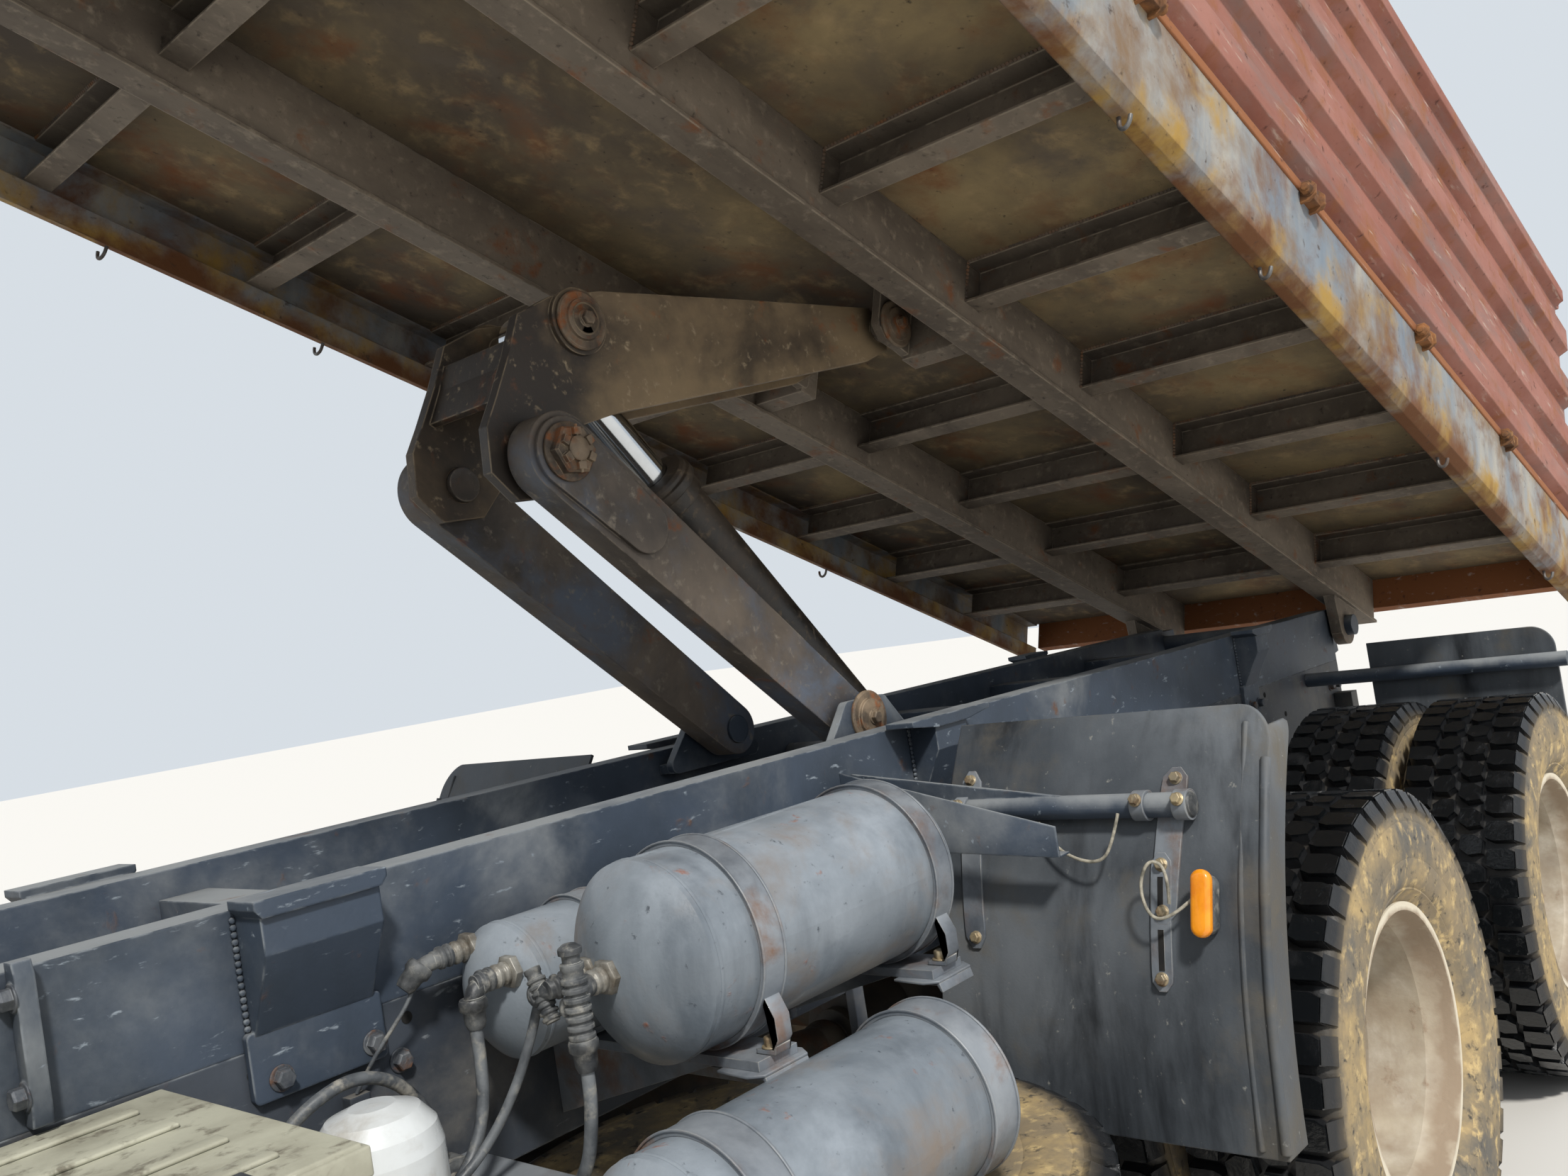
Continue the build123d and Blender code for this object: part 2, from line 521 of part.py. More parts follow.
# Spare wheel lying flat in a cradle on the left, behind the tanks
SPARE = (1250.0, 645.0, 562.0)
flat = Pos(*SPARE) * Rot(90, 0, 0)
save("spare_tyre", flat * tyre_at_0)
spare_disc = turned_y([(275, -39), (275, -25), (190, 17), (90, 17), (90, 3), (197, 3)], 105)
save("spare_rim", flat * (rim_barrel(0) + spare_disc))
CRADLE_Z = SPARE[2] - TYRE_HALF_W - SEAT
cradle = None
for x in (SPARE[0] - 545, SPARE[0] + 545):
    leg = box(x - 16, x + 16, FRAME_SEAT, 397, 380, 1010) + box(x - 16, x + 16, FRAME_SEAT, 900, 380, CRADLE_Z)
    cradle = leg if cradle is None else cradle + leg
for y in (450, 850):
    cradle += box(SPARE[0] - 560, SPARE[0] + 560, y - 20, y + 20, 380, CRADLE_Z)
save("spare_cradle", cradle)

# Cab shell: side outline and rounded plan crossed, hollow, with door ways,
# windscreen and rear window cut, and the engine tunnel pressed into its floor
SLOPE_Z0 = 1990.0
SLOPE_RUN = 210.0
SLOPE_Z1 = CAB_Z1 - 50
SLOPE = SLOPE_RUN / (SLOPE_Z1 - SLOPE_Z0)


def screen_x(z):
    return CAB_FRONT_X - (z - SLOPE_Z0) * SLOPE


def cab_body(inset, corner):
    outline = [(CAB_REAR_X + inset, CAB_Z0 + inset), (CAB_FRONT_X - inset, CAB_Z0 + inset),
               (CAB_FRONT_X - inset, SLOPE_Z0), (screen_x(SLOPE_Z1) - inset, CAB_Z1 - inset),
               (CAB_REAR_X + inset, CAB_Z1 - inset)]
    half = CAB_HALF - inset
    plan = [(CAB_REAR_X + inset, -half), (CAB_FRONT_X - inset, -half), (CAB_FRONT_X - inset, half),
            (CAB_REAR_X + inset, half)]
    side = side_prism(outline, corner, -CAB_HALF, CAB_HALF)
    across = Pos(0, 0, CAB_Z0) * extrude(rounded(plan, corner), CAB_Z1 - CAB_Z0, dir=(0, 0, 1))
    return side & across


SCREEN_HALF = CAB_HALF - 180
SCREEN_Z = (2060.0, 2800.0)
REAR_PANE = (450.0, 2050.0, 2600.0)
PANE_GAP = 0.5
TUNNEL_HALF = 420.0
cab = cab_body(0, 95)
inner = cab_body(WALL, 40)
inner -= box(CAB_REAR_X, CAB_FRONT_X - 440, -TUNNEL_HALF, TUNNEL_HALF, CAB_Z0, 1640)
cab -= inner
cab -= box(CAB_REAR_X - 5, CAB_FRONT_X - 500, -TUNNEL_HALF + 50, TUNNEL_HALF - 50, CAB_Z0 - 5, 1590)
cab -= box(CAB_FRONT_X - 330, CAB_FRONT_X + 10, -SCREEN_HALF, SCREEN_HALF, *SCREEN_Z)
cab -= box(CAB_REAR_X - 10, CAB_REAR_X + WALL + 10, -REAR_PANE[0], REAR_PANE[0], REAR_PANE[1], REAR_PANE[2])
for s in (1, -1):
    cab -= box(DOOR_REAR_X, DOOR_FRONT_X - 40, s * (CAB_HALF - WALL - 5), s * (CAB_HALF + 5), CAB_Z0 + 30, 2780)
    for z in (1400, 2100):
        cab += rod_z(DOOR_HINGE[0], s * DOOR_HINGE[1], 10, z + 40 + SEAT, z + 80)
        cab += box(DOOR_HINGE[0], DOOR_HINGE[0] + 45, s * (CAB_HALF - 2), s * (CAB_HALF + 8),
                   z + 40 + SEAT, z + 80)
save("cab_shell", cab)

# Windscreen and rear pane
z0 = SCREEN_Z[0] + PANE_GAP
z1 = SCREEN_Z[1] - PANE_GAP
screen = plate_xz([(screen_x(z0) - 30, z0), (screen_x(z0) - 24, z0), (screen_x(z1) - 24, z1),
                   (screen_x(z1) - 30, z1)], -SCREEN_HALF + PANE_GAP, SCREEN_HALF - PANE_GAP)
rear_pane = box(CAB_REAR_X + 30, CAB_REAR_X + 36, -REAR_PANE[0] + PANE_GAP, REAR_PANE[0] - PANE_GAP,
                REAR_PANE[1] + PANE_GAP, REAR_PANE[2] - PANE_GAP)
save("cab_glass", [screen, rear_pane])

# Steps under the doors and the lugs of the tilt pivot
steps = []
for s in (1, -1):
    step = box(DOOR_REAR_X + 450, DOOR_FRONT_X + 70, s * (CAB_HALF - 330), s * CAB_HALF, 810, CAB_Z0 - SEAT)
    for z in (860, 1000):
        step -= box(DOOR_REAR_X + 530, DOOR_FRONT_X - 10, s * (CAB_HALF - 150), s * (CAB_HALF + 5), z, z + 90)
    steps.append(step)
    lug = box(CAB_PIVOT[0] - 40, CAB_PIVOT[0] + 40, s * 380, s * 414, CAB_PIVOT[1] - 40, CAB_Z0 - SEAT)
    steps.append(lug - rod_y(CAB_PIVOT[0], CAB_PIVOT[1], 20 + SEAT, s * 370, s * 420))
save("cab_steps", steps)

# Radiator grille: a slotted panel on the cab's front
GRILLE_HALF = CAB_HALF - 430
grille = box(CAB_FRONT_X + SEAT, CAB_FRONT_X + 24, -GRILLE_HALF, GRILLE_HALF, 1250, 1850)
for z in (1300, 1410, 1520, 1630, 1740):
    grille -= box(CAB_FRONT_X + 10, CAB_FRONT_X + 30, -GRILLE_HALF + 50, GRILLE_HALF - 50, z, z + 60)
save("grille", grille)

# Doors: a leaf with a window, and its glass
for name, s in (("left", 1), ("right", -1)):
    leaf = side_prism([(DOOR_REAR_X + 6, CAB_Z0 + 36), (DOOR_FRONT_X - 46, CAB_Z0 + 36), (DOOR_FRONT_X - 46, 2774),
                       (DOOR_REAR_X + 6, 2774)], 25, s * (CAB_HALF - WALL), s * CAB_HALF)
    leaf -= box(DOOR_REAR_X + 90, DOOR_FRONT_X - 130, s * (CAB_HALF - WALL - 5), s * (CAB_HALF + 5), 1980, 2690)
    for z in (1400, 2100):
        leaf += rod_z(DOOR_HINGE[0], s * DOOR_HINGE[1], 10, z, z + 40)
        leaf += box(DOOR_HINGE[0] - 45, DOOR_HINGE[0], s * (CAB_HALF - 2), s * (CAB_HALF + 8), z, z + 40)
    leaf += box(DOOR_REAR_X + 60, DOOR_REAR_X + 200, s * (CAB_HALF - 2), s * (CAB_HALF + 22), 1800, 1830)
    save("door_" + name, leaf)
    save("door_glass_" + name, box(DOOR_REAR_X + 90.5, DOOR_FRONT_X - 130.5, s * (CAB_HALF - 35),
                                   s * (CAB_HALF - 29), 1980.5, 2689.5))

# Seats with cushions and backs, dashboard with steering wheel, mirrors
SEAT_X = CAB_REAR_X + 325
SEAT_IN_Y = TUNNEL_HALF + 30
SEAT_OUT_Y = CAB_HALF - 320
SEAT_Y = (SEAT_IN_Y + SEAT_OUT_Y) / 2
seats = []
for s in (1, -1):
    seat = side_prism([(SEAT_X, CAB_Z0 + WALL + SEAT), (SEAT_X + 560, CAB_Z0 + WALL + SEAT), (SEAT_X + 580, 1560),
                       (SEAT_X + 560, 1640), (SEAT_X + 160, 1620), (SEAT_X + 100, 2350), (SEAT_X, 2350)],
                      18, s * SEAT_IN_Y, s * SEAT_OUT_Y)
    seats.append(seat)
save("seats", seats)
DASH_HALF = CAB_HALF - WALL - SEAT
DASH_X = CAB_FRONT_X - 410
dash = side_prism([(DASH_X, 1660), (DASH_X + 290, 1660), (DASH_X + 290, 1800), (DASH_X + 200, 1850),
                   (DASH_X + 40, 1840)], 12, -DASH_HALF, DASH_HALF)
column = Pos(DASH_X - 90, SEAT_Y, 1840) * Rot(0, -35, 0)
dash += column * Cylinder(20, 320)
dash += column * Pos(0, 0, 160) * Torus(210, 14)
dash += column * Pos(0, 0, 160) * Box(420, 36, 12)
save("dashboard", dash)
MIRROR_X = DOOR_FRONT_X + 10
mirrors = []
for s in (1, -1):
    m = box(MIRROR_X - 15, MIRROR_X + 15, s * CAB_HALF, s * (CAB_HALF + 100), 2500, 2530)
    m += side_prism([(MIRROR_X - 35, 2080), (MIRROR_X + 35, 2080), (MIRROR_X + 35, 2560), (MIRROR_X - 35, 2560)],
                    20, s * (CAB_HALF + 70), s * (CAB_HALF + 230))
    mirrors.append(m)
save("mirrors", mirrors)

# Bed beams: two box sections with a bottom flange and the rear hinge hooks
beams = []
for s in (1, -1):
    web = box(BED_REAR_X, BED_FRONT_X, s * 360, s * 430, BED_Z + 10, BED_Z + BED_UNDER_H - SEAT)
    web += box(BED_REAR_X, BED_FRONT_X, s * 350, s * 440, BED_Z, BED_Z + 10)
    hook = plate_xz([(HINGE_X - 90, BED_Z + 8), (HINGE_X + 130, BED_Z + 8), (HINGE_X + 55, HINGE_Z - 45),
                     (HINGE_X - 55, HINGE_Z - 45)], s * 385, s * 425)
    hook += rod_y(HINGE_X, HINGE_Z, 70, s * 385, s * 425)
    hook -= rod_y(HINGE_X, HINGE_Z, HINGE_BORE, s * 380, s * 430)
    beams.append(web + hook)
save("bed_grillage", beams, raised=True)

# Cross-members under the floor by pitch, outside the beams and between them where
# the lever leaves room, and the nose bracket that the lever pushes on
NOSE_LOW = (146.0, 1397.0)
CHANNEL_W = 62.0
CHANNEL_WALL = 7.0
crossings = []
channel_x = [CROSS_REAR_X + CROSS_PITCH * i for i in range(int((BED_FRONT_X - CROSS_REAR_X) / CROSS_PITCH))]
for x in channel_x + [BED_FRONT_X - CHANNEL_W]:
    z0 = BED_Z + 61
    z1 = BED_Z + BED_UNDER_H - SEAT
    spans = [(430 + SEAT, BED_HALF_IN - 1), (-BED_HALF_IN + 1, -430 - SEAT)]
    if x < -50 or x > 1500:
        spans.append((-360 + SEAT, 360 - SEAT))
    for y0, y1 in spans:
        chan = box(x, x + CHANNEL_W, y0, y1, z0, z1)
        chan -= box(x + CHANNEL_WALL, x + CHANNEL_W + 5, y0 - 5, y1 + 5, z0 + CHANNEL_WALL, z1 - CHANNEL_WALL)
        crossings.append(chan)
nose = box(20, 80, -360 + SEAT, 360 - SEAT, BED_Z + 134, BED_Z + BED_UNDER_H - SEAT)
for s in (1, -1):
    nose += box(20, 80, s * 175, s * (360 - SEAT), BED_Z + 10, BED_Z + BED_UNDER_H - SEAT)
    ear = side_prism([(60, BED_Z + 20), (60, BED_Z + BED_UNDER_H - SEAT), (210, BED_Z + BED_UNDER_H - SEAT),
                      (210, NOSE_LOW[1] - 20), (176, NOSE_LOW[1] - 52), (116, NOSE_LOW[1] - 52)], 15, s * 170, s * 195)
    nose += ear + rod_y(NOSE_LOW[0], NOSE_LOW[1], 32, s * 142, s * 215)
crossings.append(nose)
save("bed_crosses", crossings, raised=True)

# Bed floor, side rails, ribbed boards
FLOOR_Z = BED_Z + BED_UNDER_H
floor = box(BED_REAR_X, BED_FRONT_X, -BED_HALF_IN, BED_HALF_IN, FLOOR_Z, FLOOR_Z + 10)
save("bed_floor", floor, raised=True)
# rows of depth in from the widest face and height over the bed's lower face
RAIL_ROWS = [(66, -4), (38, 0), (16, 22), (8, 60), (6, 236), (66, 236)]
rails = []
for s in (1, -1):
    rail = plate_yz([(s * (BED_HALF_OUT - d), BED_Z + h) for d, h in RAIL_ROWS], BED_REAR_X, BED_FRONT_X)
    rail -= box(BED_REAR_X - 5, BED_FRONT_X + 5, s * (BED_HALF_IN - 5), s * (BED_HALF_OUT - 16),
                BED_Z + 62, BED_Z + 170)
    rails.append(rail)
save("side_rails", rails, raised=True)
GATE_PIVOT = (BED_REAR_X - 35.0, BED_Z + 1215.0)
BOARD_IN = BED_HALF_OUT - 36
BOARD_FLAT = BED_HALF_OUT - 24
BOARD_RIB = BED_HALF_OUT + 6
# ribs pressed into the board, rows of lower and upper height
RIBS = ((300, 420), (520, 640), (740, 860), (960, 1080), (1170, 1250))
boards = []
for s in (1, -1):
    rows = [(s * BOARD_IN, BED_Z + 236 + SEAT), (s * (BED_HALF_OUT - 2), BED_Z + 236 + SEAT),
            (s * (BED_HALF_OUT - 2), BED_Z + 262), (s * BOARD_FLAT, BED_Z + 274)]
    for h0, h1 in RIBS:
        rows += [(s * BOARD_FLAT, BED_Z + h0), (s * BOARD_RIB, BED_Z + h0 + 18),
                 (s * BOARD_RIB, BED_Z + h1 - 18), (s * BOARD_FLAT, BED_Z + h1)]
    rows += [(s * BOARD_IN, BED_Z + BED_TOP_H)]
    board = rail_prism(rows, 4, BED_REAR_X, BED_FRONT_X)
    ear = plate_xz([(BED_REAR_X, GATE_PIVOT[1] - 45), (BED_REAR_X, GATE_PIVOT[1] + 15),
                    (GATE_PIVOT[0], GATE_PIVOT[1] + 34), (GATE_PIVOT[0], GATE_PIVOT[1] - 34)], s * BOARD_IN, s * BOARD_FLAT)
    ear += rod_y(GATE_PIVOT[0], GATE_PIVOT[1], 34, s * BOARD_IN, s * BOARD_FLAT)
    board += ear - rod_y(GATE_PIVOT[0], GATE_PIVOT[1], 18 + SEAT, s * (BOARD_IN - 10), s * (BOARD_RIB + 10))
    boards.append(board)
save("side_boards", boards, raised=True)

# Headboard with the canopy over the cab
HEAD_X = BED_FRONT_X + SEAT
CANOPY_X = BED_FRONT_X + 1020
CANOPY_Z = BED_Z + 1740
head = box(HEAD_X, HEAD_X + 30, -BED_HALF_OUT, BED_HALF_OUT, BED_Z + 61, CANOPY_Z)
head += box(HEAD_X, CANOPY_X, -BED_HALF_OUT, BED_HALF_OUT, CANOPY_Z, CANOPY_Z + 12)
for y in (-1000, -500, 0, 500, 1000):
    head += box(HEAD_X + 30, HEAD_X + 80, y - 40, y + 40, BED_Z + 61, CANOPY_Z)
    head += box(HEAD_X + 30, CANOPY_X, y - 40, y + 40, CANOPY_Z + 12, CANOPY_Z + 50)
save("headboard", head, raised=True)

# Tailgate hung from the top
GATE_HALF = BOARD_IN - 40
GATE_FIELD = GATE_HALF - 50
gate = box(BED_REAR_X - 55, BED_REAR_X - SEAT, -GATE_HALF, GATE_HALF, BED_Z + 60, BED_Z + 1230)
gate -= box(BED_REAR_X - 60, BED_REAR_X - 15, -GATE_FIELD, GATE_FIELD, BED_Z + 110, BED_Z + 1180)
for z in (380, 680, 980):
    gate += side_prism([(BED_REAR_X - 12, BED_Z + z), (BED_REAR_X - 55, BED_Z + z + 14),
                        (BED_REAR_X - 55, BED_Z + z + 76), (BED_REAR_X - 12, BED_Z + z + 90)],
                       3, -GATE_FIELD - 5, GATE_FIELD + 5)
for s in (1, -1):
    gate += rod_y(GATE_PIVOT[0], GATE_PIVOT[1], 18, s * (GATE_HALF - 10), s * (BOARD_FLAT + 6))
save("tailgate", gate, raised=True)

# Hoist: tension arms, lever, ram barrel and rod
arms = []
for s in (1, -1):
    arm = link_xz(ARM_FOOT, ARM_HEAD, 62, 82, s * 156, s * 222)
    arm += link_xz(ARM_HEAD, (930, 1807), 70, 58, s * 222, s * 232)
    arm -= rod_y(ARM_FOOT[0], ARM_FOOT[1], 34.5, s * 150, s * 240)
    arm += rod_y(ARM_HEAD[0], ARM_HEAD[1], 36, s * 100, s * 250)
    arms.append(arm)
save("tension_arms", arms)

lever_rows = [
    (1097, 2248), (1008, 2290), (872, 2312), (435, 2330), (-58, 2348), (-130, 2300),
    (-110, 2240), (-20, 2206), (484, 2121), (868, 2056), (985, 2025), (1000, 1950),
    (1060, 1886), (1160, 1880), (1215, 1935), (1210, 2023), (1179, 2078), (1135, 2162),
]
lever = None
for s in (1, -1):
    side = plate_xz(lever_rows, s * 112, s * 138)
    side += rod_y(ROD_PIN[0], ROD_PIN[1], 70, s * 138, s * 150)
    side += rod_y(NOSE_PIN[0], NOSE_PIN[1], 32, s * 112, s * 139)
    side -= rod_y(ARM_HEAD[0], ARM_HEAD[1], 36.5, s * 100, s * 150)
    lever = side if lever is None else lever + side
lever += plate_xz([(1105, 2204), (1126, 2150), (1160, 2082), (1148, 2074), (1114, 2142), (1093, 2198)], -113, 113)
for s in (1, -1):
    lever += rod_y(ROD_PIN[0], ROD_PIN[1], 34, s * 50, s * 170)
save("hoist_lever", lever)

ram_dx = ROD_PIN[0] - RAM_FOOT[0]
ram_dz = ROD_PIN[1] - RAM_FOOT[1]
ram_len = math.hypot(ram_dx, ram_dz)
ram_lean = math.degrees(math.atan2(ram_dz, ram_dx))


def on_ram(shape):
    # drawn along +X from the ram's foot
    return Pos(RAM_FOOT[0], 0, RAM_FOOT[1]) * Rot(0, -ram_lean, 0) * shape


barrel = rod_x(0, 0, 75, 130, 900) + rod_x(0, 0, 82, 900, 965) + rod_x(0, 0, 60, 60, 130)
barrel -= rod_x(0, 0, 45 + SEAT, 150, 970)
barrel += rod_y(0, 0, 62, -50, 50)
barrel -= rod_y(0, 0, 30.5, -60, 60)
save("ram_barrel", on_ram(barrel))
rod = rod_x(0, 0, 45, 345, ram_len - 30) + rod_y(ram_len, 0, 58, -45, 45)
rod -= rod_y(ram_len, 0, 34.5, -60, 60)
save("ram_rod", on_ram(rod))
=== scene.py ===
import math

import bmesh
import bpy
from mathutils import Matrix, Vector


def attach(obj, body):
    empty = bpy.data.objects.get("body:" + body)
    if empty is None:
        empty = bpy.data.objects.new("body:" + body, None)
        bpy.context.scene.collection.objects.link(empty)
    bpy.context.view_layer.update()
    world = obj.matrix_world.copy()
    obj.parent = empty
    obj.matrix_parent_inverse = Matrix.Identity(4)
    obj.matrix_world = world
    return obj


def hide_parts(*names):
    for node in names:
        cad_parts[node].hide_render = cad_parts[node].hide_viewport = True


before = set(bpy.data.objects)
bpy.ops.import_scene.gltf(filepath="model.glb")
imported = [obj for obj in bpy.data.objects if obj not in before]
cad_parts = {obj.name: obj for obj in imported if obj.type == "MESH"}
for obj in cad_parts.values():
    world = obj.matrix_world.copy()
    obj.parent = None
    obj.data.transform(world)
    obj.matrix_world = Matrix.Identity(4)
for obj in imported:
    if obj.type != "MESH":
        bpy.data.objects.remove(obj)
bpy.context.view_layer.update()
scene = bpy.context.scene

# Camera, light and floor. The lens stands low on the left of the raised bed, turned
# a little about its own axis, as the picture was taken. A broad soft sun and a pale
# sky light the truck, and the pale floor throws light up under the bed.
EYE = Vector((1.66617, 2.15393, 1.5718))
YAW, PITCH, ROLL = [math.radians(d) for d in (41.24, 1.49, 8.9)]
LENS_MM, FILM_MM, VIEW_M = 30.42, 36.0, 200.0
SUN_FROM, SUN_COLOUR = Vector((0.42, 0.62, 0.78)), (1.0, 0.97, 0.92)
SUN_POWER, SUN_SPREAD = 3.4, math.radians(6)
SKY_LIGHT, SKY_SEEN, SKY_POWER = (0.81, 0.85, 0.91, 1), (0.80, 0.86, 0.92, 1), 0.85
FLOOR_HALF, FLOOR_COLOUR = 40.0, (0.66, 0.64, 0.60)
ahead = Vector((-math.cos(YAW) * math.cos(PITCH), -math.sin(YAW) * math.cos(PITCH), math.sin(PITCH)))
level = ahead.cross(Vector((0, 0, 1))).normalized()
upright = level.cross(ahead)
right = math.cos(ROLL) * level - math.sin(ROLL) * upright
top = math.sin(ROLL) * level + math.cos(ROLL) * upright
lens = bpy.data.cameras.new("lens")
lens.lens = LENS_MM
lens.sensor_width = FILM_MM
lens.clip_end = VIEW_M
camera = bpy.data.objects.new("camera", lens)
camera.matrix_world = Matrix((right, top, -ahead)).transposed().to_4x4()
camera.matrix_world.translation = EYE
scene.collection.objects.link(camera)
scene.camera = camera
scene.view_settings.view_transform = "Standard"
sun_data = bpy.data.lights.new("sun", "SUN")
sun_data.energy = SUN_POWER
sun_data.angle = SUN_SPREAD
sun_data.color = SUN_COLOUR
sun = bpy.data.objects.new("sun", sun_data)
sun.rotation_euler = SUN_FROM.to_track_quat("Z", "Y").to_euler()
scene.collection.objects.link(sun)


def feed(tree, node, feeds):
    # links a socket, or sets a number or a colour on the node's own input
    for slot, value in feeds.items():
        if isinstance(value, bpy.types.NodeSocket):
            tree.links.new(value, node.inputs[slot])
        else:
            node.inputs[slot].default_value = value


def put(tree, kind, feeds, **settings):
    # adds a node, sets its choices and feeds its inputs
    made = tree.nodes.new(kind)
    for label, value in settings.items():
        setattr(made, label, value)
    feed(tree, made, feeds)
    return made


def number(tree, operation, *feeds):
    return put(tree, "ShaderNodeMath", dict(enumerate(feeds)), operation=operation).outputs[0]


def blend(tree, share, below, above):
    # mixes two colours, or two numbers
    if isinstance(above, tuple):
        return put(tree, "ShaderNodeMix", {0: share, 6: below, 7: above}, data_type="RGBA").outputs[2]
    return put(tree, "ShaderNodeMix", {0: share, 2: below, 3: above}).outputs[0]


def plain(name, colour, **inputs):
    # a material and its shader; inputs name the shader's sockets, with _ for a space
    made = bpy.data.materials.new(name)
    made.use_nodes = True
    shader = made.node_tree.nodes["Principled BSDF"]
    feed(made.node_tree, shader, {"Base Color": (*colour, 1)})
    feed(made.node_tree, shader, {label.replace("_", " "): value for label, value in inputs.items()})
    return made, shader


world = bpy.data.worlds.new("sky")
world.use_nodes = True
scene.world = world
sky = world.node_tree
ray = put(sky, "ShaderNodeLightPath", {})
seen = number(sky, "MAXIMUM", ray.outputs["Is Camera Ray"], ray.outputs["Is Glossy Ray"])
feed(sky, sky.nodes["Background"], {0: blend(sky, seen, SKY_LIGHT, SKY_SEEN), 1: SKY_POWER})
floor_mesh = bpy.data.meshes.new("floor")
floor_mesh.from_pydata([(x * FLOOR_HALF, y * FLOOR_HALF, 0) for x, y in ((-1, -1), (1, -1), (1, 1), (-1, 1))],
                       [], [(0, 1, 2, 3)])
floor_mesh.materials.append(plain("floor", FLOOR_COLOUR, Roughness=0.9)[0])
floor = bpy.data.objects.new("floor", floor_mesh)
scene.collection.objects.link(floor)

# Underside of the bed: two long beams, cross-members and the floor plate they carry.
# Mild steel that was once painted, now brown-grey under road dust, with rust along
# the edges and painted shade darkening the corners. Every other worn finish is built likewise.
LAYER_SHIFT = 3.7
BUMP_STRENGTH, BUMP_DEPTH = 0.55, 0.004


def new_group(name, kind, sockets):
    # sockets are (label, form, default); outputs have no default
    tree = bpy.data.node_groups.new(name, kind)
    for label, form, value in sockets:
        way = "OUTPUT" if value is None else "INPUT"
        socket = tree.interface.new_socket(label, in_out=way, socket_type="NodeSocket" + form)
        if value is not None and form not in ("Object", "Material"):
            socket.default_value = value
    return tree, tree.nodes.new("NodeGroupInput").outputs, tree.nodes.new("NodeGroupOutput")


def build_patches():
    # Mask is 1 in patches of noise; Upward favours faces that look up, Extra a zone
    tree, given, wanted = new_group("noise patches", "ShaderNodeTree", [
        ("Scale", "Float", 4.0), ("Amount", "Float", 0.5), ("Softness", "Float", 0.2),
        ("Upward", "Float", 0.0), ("Extra", "Float", 0.0), ("Shift", "Float", 0.0), ("Turn", "Float", 0.0),
        ("Stretch", "Vector", (1, 1, 1)), ("Mask", "Float", None)])
    place = put(tree, "ShaderNodeTexCoord", {}).outputs["Object"]
    levelled = put(tree, "ShaderNodeVectorRotate", {"Vector": place, "Angle": given["Turn"]},
                   rotation_type="Y_AXIS").outputs[0]
    moved = put(tree, "ShaderNodeVectorMath", {0: levelled, 1: given["Stretch"], 2: given["Shift"]},
                operation="MULTIPLY_ADD")
    noise = put(tree, "ShaderNodeTexNoise", {"Vector": moved.outputs[0], "Scale": given["Scale"], "Detail": 7,
                                             "Roughness": 0.62, "Distortion": 0.25})
    facing = put(tree, "ShaderNodeNewGeometry", {})
    height = put(tree, "ShaderNodeSeparateXYZ", {0: facing.outputs["Normal"]})
    lift = number(tree, "MULTIPLY_ADD", height.outputs["Z"], given["Upward"], noise.outputs[0])
    whole = number(tree, "ADD", lift, given["Extra"])
    edge = number(tree, "MULTIPLY_ADD", given["Amount"], -0.44, 0.72)
    low = number(tree, "SUBTRACT", edge, given["Softness"])
    high = number(tree, "ADD", edge, given["Softness"])
    ramp = put(tree, "ShaderNodeMapRange", {"Value": whole, "From Min": low, "From Max": high},
               interpolation_type="SMOOTHSTEP")
    feed(tree, wanted, {"Mask": ramp.outputs[0]})
    return tree


def build_edges():
    # Mask is 1 where the surface turns sharply, broken up by noise; Normal rounds the edge
    tree, given, wanted = new_group("worn edges", "ShaderNodeTree", [
        ("Width", "Float", 0.004), ("Amount", "Float", 0.5), ("Mask", "Float", None),
        ("Normal", "Vector", None)])
    soft = put(tree, "ShaderNodeBevel", {"Radius": given["Width"]}, samples=4)
    facing = put(tree, "ShaderNodeNewGeometry", {})
    match = put(tree, "ShaderNodeVectorMath", {0: soft.outputs[0], 1: facing.outputs["Normal"]},
                operation="DOT_PRODUCT")
    sharp = put(tree, "ShaderNodeMapRange", {"Value": match.outputs["Value"], "From Min": 0.99,
                                             "From Max": 0.85})
    place = put(tree, "ShaderNodeTexCoord", {})
    noise = put(tree, "ShaderNodeTexNoise", {"Vector": place.outputs["Object"], "Scale": 24, "Detail": 5})
    edge = number(tree, "MULTIPLY_ADD", given["Amount"], -0.5, 0.75)
    broken = put(tree, "ShaderNodeMapRange", {"Value": noise.outputs[0], "From Min": edge,
                                              "From Max": number(tree, "ADD", edge, 0.12)})
    mask = number(tree, "MULTIPLY", sharp.outputs[0], broken.outputs[0])
    feed(tree, wanted, {"Mask": mask, "Normal": soft.outputs[0]})
    return tree


def build_corners():
    # Mask grows where other surfaces shut the point in, where shade falls; finishes mix it into their colour
    # as painted shade
    tree, given, wanted = new_group("painted corner shade", "ShaderNodeTree", [
        ("Reach", "Float", 0.1), ("Amount", "Float", 0.7), ("Mask", "Float", None)])
    shut = put(tree, "ShaderNodeAmbientOcclusion", {"Distance": given["Reach"]}, samples=4)
    ramp = put(tree, "ShaderNodeMapRange", {"Value": shut.outputs["AO"], "From Min": 0.85, "From Max": 0.15})
    feed(tree, wanted, {"Mask": number(tree, "MULTIPLY", ramp.outputs[0], given["Amount"])})
    return tree


patches, edges, corners = build_patches(), build_edges(), build_corners()


def tone(code):
    # a colour as it looks on a screen, made into Blender's linear numbers
    parts = [int(code[i:i + 2], 16) / 255 for i in (0, 2, 4)]
    return tuple([c / 12.92 if c <= 0.04045 else ((c + 0.055) / 1.055) ** 2.4 for c in parts]) + (1,)


